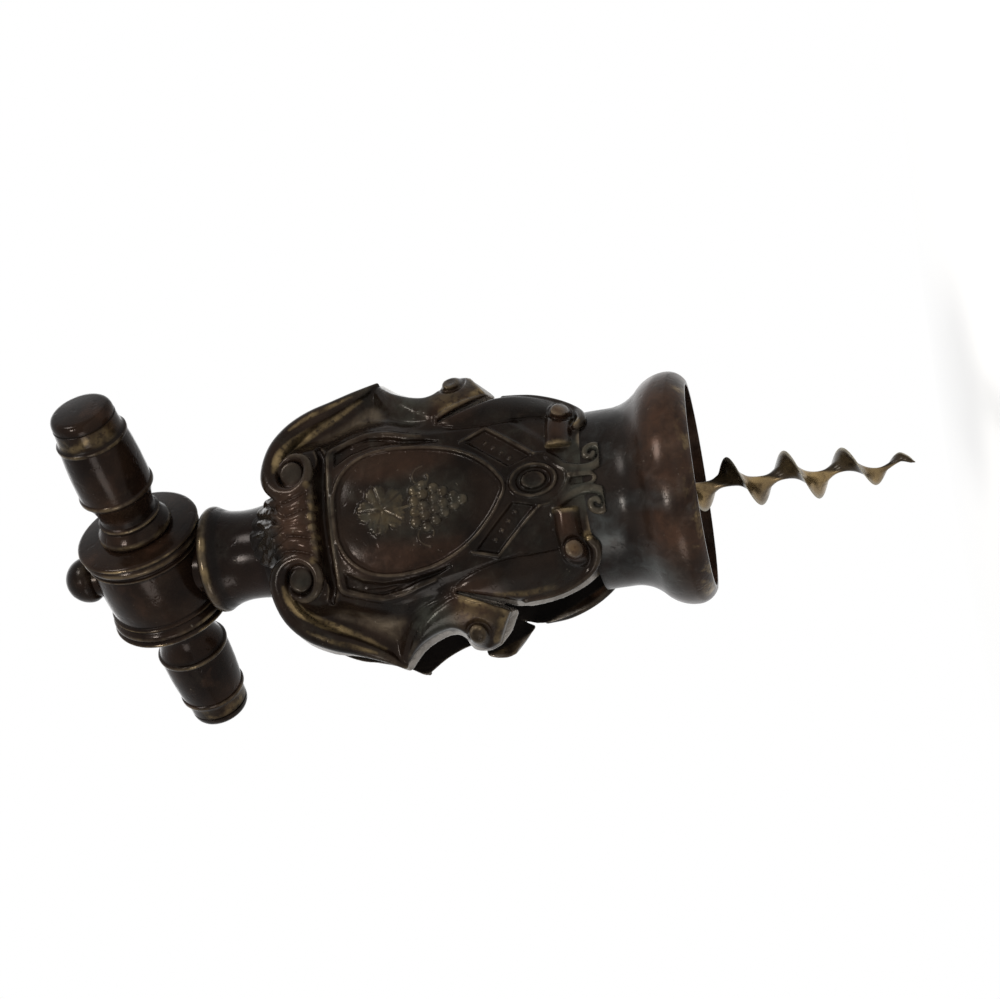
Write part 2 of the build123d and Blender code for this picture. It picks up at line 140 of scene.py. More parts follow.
def between_rows(grid, at, columns):
    """A grid's values between two of its rows."""
    row = np.clip(at.astype(int), 0, grid.shape[0] - 2)
    t = at - row
    return grid[row, columns] * (1 - t) + grid[row + 1, columns] * t


# Half a plate is drawn flat, across from its middle and up from the throat, on a grid of this pitch
HALF_WIDE, FOOT, HEAD, GRID = 28.0, 14.0, 80.0, 0.1


class Relief:
    """Heights over the flat half, to be laid on a curved plate."""

    def __init__(self):
        a = np.arange(0.0, HALF_WIDE + GRID / 2, GRID)
        z = np.arange(FOOT, HEAD + GRID / 2, GRID)
        self.A, self.Z = np.meshgrid(a, z, indexing="ij")
        self.h = np.zeros_like(self.A)

    def window(self, pts, margin):
        spots = np.array(pts)[:, :2]
        low = (spots.min(0) - margin - (0.0, FOOT)) / GRID
        high = (spots.max(0) + margin - (0.0, FOOT)) / GRID
        first = [max(0, int(v)) for v in low]
        return tuple(slice(i, max(i, int(v) + 2)) for i, v in zip(first, high))

    def near(self, pts, margin):
        win = self.window(pts, margin)
        return win, *nearest(self.A[win], self.Z[win], pts)

    def bead(self, points, height, sharp=1.0, bend=True):
        """A raised line, or a groove below zero; the third number of a point is the line's half width."""
        widest = max(p[2] for p in points)
        win, d, (w,) = self.near(run_of(points, bend), widest + 0.3)
        t = np.clip(d / np.maximum(w, 0.05), 0, 1)
        self.h[win] += height * np.clip(w / widest, 0.15, 1) * (1 - t**2) ** sharp

    def inside(self, points, margin, bend=False):
        """Signed distance to a closed outline, below zero inside."""
        pts = run_of([*points, points[0]], bend)
        win, d, _ = self.near(pts, margin)
        return win, np.where(enclosed(self.A[win], self.Z[win], pts), -d, d)

    def cushion(self, points, height, reach, soft, power=0.5):
        """A round-topped or, below zero, round-bottomed form over a closed outline."""
        win, d = self.inside(points, 1.0)
        t = np.clip(-d / reach, 0, 1)
        form = np.zeros_like(self.h)
        form[win] = height * (1 - (1 - t) ** 2) ** power
        self.h += blur(form, soft)

    def patch(self, points, height, bevel):
        """Raises or lowers an area, with a bevelled edge."""
        win, d = self.inside(points, bevel + 0.5)
        self.h[win] += height * step(bevel, -bevel, d)

    def dome(self, a, z, ra, rz, height, power=1.0):
        win = self.window([(a, z)], max(ra, rz) + 0.2)
        t = np.clip(((self.A[win] - a) / ra) ** 2 + ((self.Z[win] - z) / rz) ** 2, 0, 1)
        self.h[win] += height * (1 - t) ** power

    def knob(self, a, z, height, foot, top, groove, middle, half):
        """A flat-topped button, with a groove round it."""
        win = self.window([(a, z)], 3.4)
        d = np.hypot(self.A[win] - a, self.Z[win] - z)
        self.h[win] += height * step(foot, top, d) - groove * hump(d, half, middle)


# The plate's own curve, as in the CAD: height, front distance and arc radius
PLATE = np.array([
    (14, 15.8, 15.8), (18.8, 15.8, 15.8), (22, 16, 19), (27, 16.8, 22.5), (34, 17.7, 27.5),
    (41, 18.4, 32), (49, 18.9, 35), (58, 19.2, 35.5), (66, 19.1, 31), (71.5, 18.2, 27),
    (76, 16.6, 23), (82, 15, 23),
])
PLATE_KEYS = np.arange(12.0, 84.0, 0.25)
PLATE_FRONT, PLATE_ARC = (smooth_table(PLATE_KEYS, PLATE[:, 0], PLATE[:, k], 3.0) for k in (1, 2))
WALL = 2.6
CAGE_HALF = 5.6
# The least share of its distance that a steep face keeps
STEEPEST = 0.35


def plate_y(x, z):
    """How far back the plain plate's face stands at each place (negative y, towards the front)."""
    front = np.interp(z, PLATE_KEYS, PLATE_FRONT)
    arc = np.interp(z, PLATE_KEYS, PLATE_ARC)
    inside = np.sqrt(np.maximum(arc**2 - np.minimum(np.abs(x), 0.985 * arc) ** 2, 0))
    return arc - front - inside


def steepness(depths, pitch):
    """How much longer a sloping face is than its flat drawing."""
    gx, gz = np.gradient(depths, pitch)
    return np.sqrt(1 + gx**2 + gz**2)


def lean(z):
    """The low carving stands a little to the right on the real casting."""
    return 1.9 * step(48.0, 25.0, z)


OUTLINE = np.vstack([
    (14.3, 18.4),
    curve([(14.3, 18.8), (16.2, 21.6), (17.6, 26), (18.2, 30), (18, 32.9)]),
    [(15, 42.2), (19.2, 33.9), (24, 37.3)],
    curve([(24, 37.3), (24.6, 39.4), (23.6, 41.8), (21.6, 42.8), (20.7, 44.6), (21.2, 47.4), (22.8, 50.8),
           (25.5, 54.1)]),
    curve([(25.5, 54.1), (23.4, 58), (22, 62.2), (20.9, 66.8), (18.4, 71.2), (14.4, 73.9), (9.4, 74.6),
           (6, 73)]),
    (0, 72.6),
])


def outline_distance(a, z):
    """Signed distance to the plate's outline on a half grid, below zero inside."""
    A, Z = np.meshgrid(a, z, indexing="ij")
    best, _ = nearest(A, Z, OUTLINE)
    ring = np.vstack([OUTLINE, (0.0, 18.4), OUTLINE[:1]])
    return np.where(enclosed(A, Z, ring), -best, best)


def half_relief():
    """The carving of one half of a plate, drawn to the right of its middle."""
    r = Relief()
    # The middle stands out as a shield; beyond its border the ground falls away in a cove
    r.patch([(-9, 61.9), (12.6, 62.2), (14.8, 55), (14.4, 49.3), (12.9, 44), (12.2, 37), (11.8, 30),
             (8, 25.6), (4.4, 22.0), (0, 20.4), (-9, 22)], 0.5, 0.7)
    cove = [(13, 70.4), (15.6, 69.6), (17.2, 66.6), (18.4, 63.2), (19.9, 59.8), (22.4, 56.4),
            (24.6, 54.8), (21.4, 52.6), (18.8, 50.3), (17, 47.8), (15.6, 44.8), (14.6, 45.2),
            (15, 48.6), (15.7, 51.6), (15.5, 54.8), (14.5, 59.2), (13.1, 62.6), (13.5, 65.5),
            (13.7, 68.2)]
    r.cushion(cove, -2.3, 3, 5, 1)
    # Deep trough under the waist
    r.bead([(-8, 63.3, 1.2), (0, 63.4, 1.25), (8.3, 63.2, 1.15), (11.2, 63.1, 0.8), (13.4, 64.0, 0.5)],
           -2.0, 0.6)
    # Shield's top bar, corner and side border
    r.bead([(-6, 61.5, 0.7), (6, 61.7, 0.7), (11.9, 61.6, 0.6), (13.5, 58.6, 0.5), (14.6, 54.8, 0.5),
            (14.3, 51.4, 0.5), (13.3, 48.4, 0.5), (12.6, 45.4, 0.4)], 0.4, 0.9)
    # Corner panel and side channel, recessed between the border and the ring
    r.patch([(9.4, 60.6), (11.7, 60.6), (12.7, 58.2), (13.6, 54.6), (13.2, 51.2), (12.2, 48.0),
             (11.6, 44.6), (10.8, 42.4), (11.4, 46), (11.9, 50), (12.0, 54), (11.1, 57.6)], -0.95, 0.35)
    r.bead([(12.6, 57.4, 0.3), (12.9, 54.6, 0.45), (12.6, 52.2, 0.3)], 0.45, 0.8)
    # Medallion: sunk field, thin raised ring
    ring = [(0, 61.0), (4.2, 60.8), (7.6, 59.2), (10.0, 56.1), (10.9, 52.0), (10.6, 47.0), (9.6, 42.4),
            (7.6, 38.0), (4.6, 34.4), (1.6, 32.2), (0, 31.7)]
    closed = ring + [(-a, z) for a, z in reversed(ring[1:-1])]
    win, d = r.inside(closed, 2.0, bend=True)
    r.h[win] += -0.55 * step(0.1, -1.1, d) + 0.42 * hump(d, 0.5)
    r.h[win] += 0.45 * np.where(d < 0, 1 - np.exp(-np.clip(-d, 0, 9) / 3.5), 0)
    # Lower panels, each with four beads
    r.patch([(9.4, 37.6), (10.7, 34.2), (4.4, 27.0), (3.2, 30.6)], -0.65, 0.25)
    r.bead([(9.6, 38.4, 0.35), (11.3, 34.2, 0.35), (8.0, 30.2, 0.35), (4.6, 26.2, 0.35)],
           0.28, 0.9, bend=False)
    for share in (0.2, 0.4, 0.6, 0.8):
        r.dome(9.7 - 6.2 * share, 35.5 - 6.5 * share, 0.45, 0.45, 0.3, 0.7)
    # Jewel in its oval ring, and the shield's pointed foot round it
    win = r.window([(0, 26.7)], 6)
    oval = np.hypot(r.A[win] / 3.0, (r.Z[win] - 26.7) / 4.1)
    r.h[win] += 0.6 * hump(oval, 0.19, 0.86) - 0.35 * step(0.95, 0.8, oval)
    r.h[win] += 0.6 * step(0.56, 0.46, oval)
    r.bead([(4.6, 26.2, 0.4), (4.1, 23.8, 0.5), (2.1, 21.6, 0.5), (0.0, 20.6, 0.5)], 0.35, 0.9)
    # Shoulder roll below the slit: a broad round moulding with a crease inside it
    r.bead([(15.0, 42.4, 0.9), (15.1, 39.4, 2.4), (15.4, 34.5, 3.4), (15.5, 29.0, 3.5), (14.9, 25.0, 3.1),
            (13.5, 22.0, 2.4), (12.2, 20.4, 1.6)], 1.7, 0.5)
    # Ribbon from the ear to its cut end: one broad round strap, with a knob where its corner curls
    ribbon = [(25.4, 54.0), (21.6, 51.8), (19.0, 49.6), (17.0, 47.0), (15.7, 44.2), (15.2, 42.0),
              (17.2, 37.9), (20.0, 32.1), (25.2, 35.6), (25.2, 39.6), (24.0, 42.4), (21.9, 43.3),
              (21.2, 45.2), (21.7, 47.6), (23.2, 50.8)]
    r.cushion(ribbon, 1.5, 3.0, 3)
    r.knob(22.4, 40.3, 0.8, 1.7, 1.2, 0.55, 2.0, 0.45)
    r.dome(22.4, 40.3, 0.9, 0.9, -0.2)
    # Straps at the foot, each from a knob to its square end
    win, d, _ = r.near(curve([(12.8, 21.6), (9.4, 22.1), (3.8, 22.0)]), 2.6)
    strap = np.zeros_like(r.h)
    strap[win] = 2.0 * step(5.4, 5.7, r.A[win]) * hump(d, 2.15) ** 0.6
    r.h += blur(strap, 1)
    r.knob(12.4, 21.5, 0.9, 1.6, 1.3, 0.6, 1.85, 0.4)
    # Waist between the volutes: a cushion with folds that bend round the volutes
    win = r.window([(0, 68), (8, 68)], 5)
    A, Z = r.A[win], r.Z[win]
    up = np.clip((Z - 68.1) / 3.8, -1, 1)
    cushion = np.sqrt(1 - up**2) * step(8.6, 5.4, A)
    flare = A / (1 + 0.035 * (70.0 - Z)) + 0.25 * np.sin(0.75 * Z) + 0.12 * np.sin(1.9 * A + 0.6 * Z)
    folds = np.abs(np.sin(math.pi * (flare + 0.2) / 2.3)) ** 0.8
    r.h[win] += 1.5 * cushion + (0.75 * folds - 0.5) * cushion**0.6
    for a, z, size, height in ((0.95, 65.1, 0.9, 0.4), (3.2, 64.95, 1.0, 0.5), (5.5, 65.1, 0.8, 0.4)):
        r.dome(a, z, size, 0.62, height, 0.7)
    return r


VOLUTE = (9.3, 68.4)
# Runs laid on a plate's face, each point as across, up, radius and lift
ROLL = [
    (25.3, 54.2, 0.45, -0.1), (23, 57.5, 1.15, 0.1), (21.1, 61.4, 1.6, 0.3), (19.6, 65.2, 1.85, 0.5),
    (17.4, 69, 1.95, 0.7), (14, 71.7, 1.9, 0.8),
]
# Ends the shoulder roll, under the knob
HOOK = [
    (18, 31.5, 0.5, 0), (17.5, 26.8, 0.7, 0.1), (16, 22.6, 0.85, 0.2), (13.8, 19.4, 0.95, 0.3),
    (11.4, 18.2, 0.95, 0.4), (9.9, 19, 0.8, 0.5),
]
# At the foot, on the bell
CURL = [
    (7.2, 24.6, 0.5, -0.2), (4.6, 24, 0.8, 0), (2.7, 21.8, 0.9, 0), (1.85, 19.2, 0.9, 0),
    (1.9, 16.9, 0.85, 0), (2.9, 15.2, 0.8, 0), (4.5, 14.9, 0.75, 0), (5.6, 16.1, 0.7, 0),
    (5.2, 17.5, 0.65, 0.05), (4, 17.7, 0.6, 0.05), (3.6, 16.7, 0.55, 0.1), (4.2, 16.3, 0.55, 0.1),
]
STEM = [(1, 21.4, 0.35, 0.1), (1, 18.6, 0.35, 0.1), (0.75, 17, 0.35, 0.1), (0, 16.5, 0.35, 0.1)]


def volute():
    """The outer roll and the spiral that it ends in."""
    spiral = []
    for eighth, (dist, radius, lift) in enumerate((
        (4.25, 1.75, 0.8), (3.95, 1.35, 0.8), (3.6, 1.05, 0.8), (3.4, 0.95, 0.8), (3.3, 0.9, 0.8),
        (3.25, 0.85, 0.75), (3.15, 0.75, 0.7), (2.95, 0.6, 0.6), (2.75, 0.4, 0.4),
    )):
        angle = math.pi / 2 + 2 * math.pi * eighth / 8
        across, up = VOLUTE[0] + dist * math.cos(angle), VOLUTE[1] + dist * math.sin(angle)
        spiral.append((across, up, radius, lift))
    return ROLL + spiral


def on_face(rows, side):
    """Takes a run to its place on the plate, on one side of the middle."""
    out = []
    for across, z, radius, lift in rows:
        x = side * across + 0.5 * lean(z)
        out.append((x, plate_y(x, z) - lift, z, radius))
    return out


# The field's value far from anything, and the voxels each way of a surface that are meshed
OUTSIDE, NARROW = 9.0, 3.0


class Solid:
    """A signed distance field on a grid, built up by cutting and adding."""

    def __init__(self, low, high, pitch):
        self.pitch = pitch
        self.low = np.array(low, float)
        self.axes = [np.arange(start, end + pitch / 2, pitch) for start, end in zip(low, high)]
        self.f = np.full([len(axis) for axis in self.axes], OUTSIDE, np.float32)

    def window(self, low, high):
        out = []
        for k in range(3):
            i0 = max(0, int((low[k] - self.low[k]) / self.pitch))
            i1 = min(len(self.axes[k]), int((high[k] - self.low[k]) / self.pitch) + 2)
            out.append(slice(i0, max(i0, i1)))
        return tuple(out)

    def coords(self, win):
        x, y, z = (self.axes[k][win[k]] for k in range(3))
        return x[:, None, None], y[None, :, None], z[None, None, :]

    def tube(self, pts, k):
        """Adds a round bar along points of (x, y, z, radius)."""
        pts = np.array(pts, float)
        reach = pts[:, 3].max() + 1.2
        win = self.window(pts[:, :3].min(0) - reach, pts[:, :3].max(0) + reach)
        own = np.full([s.stop - s.start for s in win], OUTSIDE, np.float32)
        for p, q in zip(pts[:-1], pts[1:]):
            r = max(p[3], q[3]) + 1.2
            sub = self.window(np.minimum(p[:3], q[:3]) - r, np.maximum(p[:3], q[:3]) + r)
            spots, d = self.coords(sub), q[:3] - p[:3]
            t = sum((v - a) * b for v, a, b in zip(spots, p, d)) / (d @ d + 1e-12)
            t = np.clip(t, 0, 1)
            dist = np.sqrt(sum((v - a - t * b) ** 2 for v, a, b in zip(spots, p, d)))
            dist = (dist - (p[3] + t * (q[3] - p[3]))).astype(np.float32)
            inner = tuple(slice(s.start - w.start, s.stop - w.start) for s, w in zip(sub, win))
            own[inner] = np.minimum(own[inner], dist)
        self.f[win] = soft_min(self.f[win], own, k)

    def disc(self, x, y, z, radius, depth, k, round_edge):
        """Adds a flat button with a rounded rim, its face at y towards the front."""
        reach = radius + 1
        win = self.window((x - reach, y - 1, z - reach), (x + reach, y + depth + 1, z + reach))
        gx, gy, gz = self.coords(win)
        side = np.hypot(gx - x, gz - z) - radius
        own = soft_max(side, soft_max(y - gy, gy - y - depth, round_edge), round_edge)
        self.f[win] = soft_min(self.f[win], own.astype(np.float32), k)

    def mesh(self, name):
        grid = openvdb.FloatGrid()
        grid.background = NARROW
        grid.copyFromArray(np.clip(self.f / self.pitch, -NARROW, NARROW).astype(np.float32))
        points, quads = grid.convertToQuads(0.0)
        spots = points * self.pitch + self.low
        made = bpy.data.meshes.new(name)
        made.from_pydata((spots * MM).tolist(), [], quads.tolist())
        made.validate()
        return made, spots


def sample(f, solid, spots):
    """The field's value at points, from the eight voxels round each."""
    q = (spots - solid.low) / solid.pitch
    i = np.floor(q).astype(int)
    for k in range(3):
        i[:, k] = np.clip(i[:, k], 0, f.shape[k] - 2)
    t = q - i
    out = 0
    for corner in np.ndindex(2, 2, 2):
        x, y, z = (t[:, k] if far else 1 - t[:, k] for k, far in enumerate(corner))
        out = out + x * y * z * f[tuple((i + corner).T)]
    return out


def sculpt_plate(pitch):
    """The front plate: its carved face, its back, its edge, and the runs laid on it."""
    relief = half_relief()
    solid = Solid((-27.5, -23.5, 15.4), (27.5, -4.6, 79.4), pitch)
    xs, ys, zs = solid.axes
    X, Z = np.meshgrid(xs, zs, indexing="ij")
    height = between_rows(relief.h, np.abs(X - lean(Z)) / GRID, cell(Z, FOOT, GRID, relief.h.shape[1]))
    height += grapes(X - 0.3 * lean(Z), Z)
    base = plate_y(X, Z)
    face = base - height
    half_a = np.arange(0, HALF_WIDE, GRID)
    at = np.clip(np.abs(X - 0.5 * lean(Z)) / GRID, 0, len(half_a) - 1.001)
    rim = between_rows(outline_distance(half_a, zs), at, np.arange(len(zs))[None, :])
    y = ys[None, :, None]
    slope = np.maximum(1 / steepness(face, pitch), STEEPEST)
    f = ((face[:, None, :] - y) * slope[:, None, :]).astype(np.float32)
    back = (y - (base + WALL)[:, None, :]) / steepness(base, pitch)[:, None, :]
    f = soft_max(f, back.astype(np.float32), 0.3)
    # The outline widens towards the back, by a slant of 0.36 whose cosine is 0.94
    slant = 0.36 * np.clip(y - base[:, None, :] - 0.2, 0, WALL) - 0.2
    f = soft_max(f, (0.94 * (rim[:, None, :] - slant)).astype(np.float32), 0.45)
    solid.f = soft_max(f, (y + CAGE_HALF).astype(np.float32), 0.3)
    solid.depth = base
    solid.rim = rim
    for side in (1, -1):
        solid.tube(on_face(curve(volute(), 8), side), 0.3)
        eye_x = side * VOLUTE[0] + 0.5 * lean(VOLUTE[1])
        solid.disc(eye_x, plate_y(eye_x, VOLUTE[1]) - 1.15, VOLUTE[1], 2.1, 2.0, 0.45, 0.5)
        for rows, blend in ((HOOK, 0.5), (CURL, 0.25), (STEM, 0.2)):
            solid.tube(on_face(curve(rows, 6), side), blend)
    # The drop between the curls
    solid.tube([(lean(20.0), -16.3, 20.6, 0.6), (lean(20.0), -15.8, 17.4, 0.55)], 0.3)
    leaf(solid)
    return solid


def ripple(x, z):
    """Gentle unevenness, between about -1 and 1, the same at every run."""
    a = np.sin(1.9 * x + 1.3 * z + 0.7) + np.sin(2.7 * z - 1.6 * x + 2.1)
    b = np.sin(4.3 * x + 0.9 * np.sin(2.2 * z)) + np.sin(5.1 * z + 3.0 * np.sin(1.7 * x) + 1.2)
    return 0.3 * a + 0.2 * b


def leaf(solid):
    """The crumpled acanthus leaf that laps from the waist on to the neck."""
    win = solid.window((-7.4, -21.5, 69.6), (7.4, -7.5, 79.3))
    x, y, z = solid.coords(win)
    x, z = x[:, 0, :], z[0, 0, :][None, :]
    keys = (69.5, 71.0, 72.6, 74.4, 76.2, 77.8, 79.4)
    base = np.interp(z, keys, (-19.2, -19.0, -18.3, -16.2, -13.9, -12.0, -10.6)) + 0.035 * x**2
    side = np.abs(x - 0.2)
    fan = side * 1.1 - 0.55 * (z - 70.0) + 0.5 * ripple(0.6 * x, 0.6 * z)
    lobes = np.abs(np.sin(math.pi * fan / 2.6)) ** 0.8
    face = base - 0.95 * lobes - 0.4 * hump(side, 0.6) - 0.22 * ripple(1.2 * x, 1.1 * z)
    wide = np.interp(z, (69.5, 71.0, 73.0, 75.5, 77.4, 78.6, 79.3), (4.4, 5.2, 5.7, 5.4, 4.2, 2.6, 0.6))
    rim = (side - wide - 0.45 * lobes) * 0.8
    slope = np.maximum(1 / steepness(face, solid.pitch), STEEPEST)
    own = soft_max((face[:, None, :] - y) * slope[:, None, :], y - (base + 2.2)[:, None, :], 0.3)
    own = soft_max(own, rim[:, None, :], 0.7)
    own = soft_max(own, 69.9 - z[:, None, :], 0.6)
    solid.f[win] = soft_min(solid.f[win], own.astype(np.float32), 0.35)


def grapes(X, Z):
    """A bunch of grapes under a vine leaf, with two tendrils, in the medallion."""
    h = np.zeros_like(X)
    rows = ((46.9, 4), (45.3, 5), (43.6, 4), (41.9, 3), (40.3, 2), (38.8, 1))
    for n, (z, count) in enumerate(rows):
        for k in range(count):
            x = (k - (count - 1) / 2) * 1.8 + 0.12 * math.sin(5 * n + 3 * k)
            d = np.hypot(X - x, Z - z - 0.1 * math.cos(4 * n + 7 * k))
            h = np.maximum(h, 0.62 * np.sqrt(hump(d, 1.0)))
    # The leaf: five pointed lobes, with toothed edges and veins
    dx, dz = X - 0.3, Z - 52.6
    rad = np.hypot(dx, dz)
    angle = np.arctan2(dx, dz)
    lobes = np.abs(np.cos(2.5 * angle))
    reach = 3.0 + 1.5 * lobes**0.6 * (1 - 0.12 * np.abs(angle) / math.pi)
    reach += 0.14 * np.cos(35 * angle) + 0.1 * np.cos(15 * angle)
    blade = step(0.3, -0.3, rad - reach)
    vein = np.full_like(X, OUTSIDE)
    for turn in (0.0, 1.257, -1.257, 2.513, -2.513):
        ux, uz = math.sin(turn), math.cos(turn)
        along = np.clip(dx * ux + dz * uz, 0, 4.2)
        vein = np.minimum(vein, np.hypot(dx - along * ux, dz - along * uz))
    swell = 0.42 + 0.12 * np.cos(np.clip(rad / reach, 0, 1) * 3.0)
    h = np.maximum(h, blade * (swell - 0.2 * np.clip(1 - vein / 0.32, 0, 1)))
    stalk = hump(X - 0.3 + 0.25 * np.sin((Z - 48) * 0.9), 0.38)
    h = np.maximum(h, 0.45 * stalk * step(46.8, 47.6, Z) * step(52.6, 51.8, Z))
    # The tendrils
    t = np.linspace(0, 1, 48)
    for side in (1, -1):
        px = side * (4.9 + 2.0 * np.cos(5.2 * t) * (1 - 0.6 * t))
        pz = 45.2 + 2.1 * np.sin(5.2 * t) * (1 - 0.6 * t)
        d = np.full(X.shape, OUTSIDE)
        for a, b in zip(px, pz):
            d = np.minimum(d, np.hypot(X - a, Z - b))
        h = np.maximum(h, 0.3 * hump(d, 0.3))
    return h


def paint(obj, fields):
    """Stores each field's value at the vertices, for the materials to read."""
    for name, values in fields.items():
        layer = obj.data.attributes.new(name, "FLOAT", "POINT")
        layer.data.foreach_set("value", np.asarray(values, np.float32))


def smooth_shade(mesh):
    mesh.polygons.foreach_set("use_smooth", [True] * len(mesh.polygons))
    mesh.update()


def link(name, data):
    obj = bpy.data.objects.new(name, data)
    bpy.context.scene.collection.objects.link(obj)
    return obj


def thin_out(obj, ratio):
    """Fewer triangles, with the shape kept."""
    mod = obj.modifiers.new("thin", "DECIMATE")
    mod.ratio = ratio
    bpy.context.view_layer.objects.active = obj
    bpy.ops.object.modifier_apply(modifier=mod.name)


# Materials


def new_material(name):
    mat = bpy.data.materials.new(name)
    mat.use_nodes = True
    mat.node_tree.nodes.clear()
    return mat, Nodes(mat.node_tree)


class Nodes:
    """Short words for building a node tree."""

    def __init__(self, tree):
        self.tree = tree

    def new(self, kind, values=None, **settings):
        """A node; values gives its sockets numbers, colours, vectors or the outputs of other nodes."""
        n = self.tree.nodes.new(kind)
        for key, value in settings.items():
            setattr(n, key, value)
        for key, value in (values or {}).items():
            socket = n.inputs[key]
            if isinstance(value, bpy.types.NodeSocket):
                self.tree.links.new(value, socket)
            elif socket.type == "RGBA":
                socket.default_value = (*value, 1.0)
            else:
                socket.default_value = value
        return n

    def coords(self):
        return self.new("ShaderNodeTexCoord").outputs["Object"]

    def attribute(self, name):
        return self.new("ShaderNodeAttribute", attribute_name=name).outputs["Fac"]

    def noise(self, at, scale, detail, rough, distortion=0.0):
        values = {"Vector": at, "Scale": scale, "Detail": detail, "Roughness": rough,
                  "Distortion": distortion}
        return self.new("ShaderNodeTexNoise", values, noise_dimensions="3D").outputs["Fac"]

    def spread(self, value, low, high, to_low=0.0, to_high=1.0):
        values = {"Value": value, "From Min": low, "From Max": high, "To Min": to_low, "To Max": to_high}
        return self.new("ShaderNodeMapRange", values, clamp=True).outputs["Result"]

    def math(self, operation, a, b=0.0):
        return self.new("ShaderNodeMath", {0: a, 1: b}, operation=operation).outputs[0]

    def times(self, a, b):
        return self.math("MULTIPLY", a, b)

    def most(self, first, *others):
        for value in others:
            first = self.math("MAXIMUM", first, value)
        return first

    def band(self, value, middle, half, flat=0.3):
        """One at a value, falling to nothing at half a width away."""
        off = self.math("ABSOLUTE", self.math("SUBTRACT", value, middle))
        return self.spread(off, half * flat, half, 1.0, 0.0)

    def mix(self, factor, a, b):
        return self.new("ShaderNodeMix", {0: factor, 6: a, 7: b}, data_type="RGBA").outputs[2]

    def bump(self, height, strength, distance, normal=None):
        values = {"Height": height, "Strength": strength, "Distance": distance}
        if normal is not None:
            values["Normal"] = normal
        return self.new("ShaderNodeBump", values).outputs["Normal"]

    def vector(self, operation, *values):
        return self.new("ShaderNodeVectorMath", dict(enumerate(values)), operation=operation)

    def from_axis(self, at, axis=(0, 0, 1), origin=(0, 0, 0)):
        """Distance along an axis and away from it, in millimetres."""
        off = self.vector("SUBTRACT", at, origin).outputs[0]
        along = self.times(self.vector("DOT_PRODUCT", off, axis).outputs["Value"], 1 / MM)
        reach = self.times(self.vector("LENGTH", off).outputs["Value"], 1 / MM)
        square = self.math("SUBTRACT", self.times(reach, reach), self.times(along, along))
        return along, self.math("SQRT", self.math("MAXIMUM", square, 0.0))

    def surface(self, base, metallic, rough, normal, gloss=0.5):
        """Ends the tree in one shader."""
        values = {"Base Color": base, "Metallic": metallic, "Roughness": rough, "Normal": normal,
                  "Specular IOR Level": gloss}
        shader = self.new("ShaderNodeBsdfPrincipled", values)
        self.new("ShaderNodeOutputMaterial", {"Surface": shader.outputs[0]})


GOLD, LINE, GREY = (0.2, 0.145, 0.072), (0.085, 0.066, 0.045), (0.03, 0.031, 0.025)
# The sooty colour is also painted shade in the hollows, and the wall colour is a painted reflection on the
# plates' side walls.
COPPER, SOOT_AND_SHADE, WALL_SHEEN = (0.04, 0.02, 0.012), (0.0022, 0.0017, 0.0014), (0.2, 0.18, 0.16)
# The bright edge colour is the worm's blade edge, worn bright and with a painted highlight.
GRAIN, UNSEEN, BRIGHT_EDGE = (0.16, 0.14, 0.11), (0.005, 0.0038, 0.0032), (0.24, 0.22, 0.175)


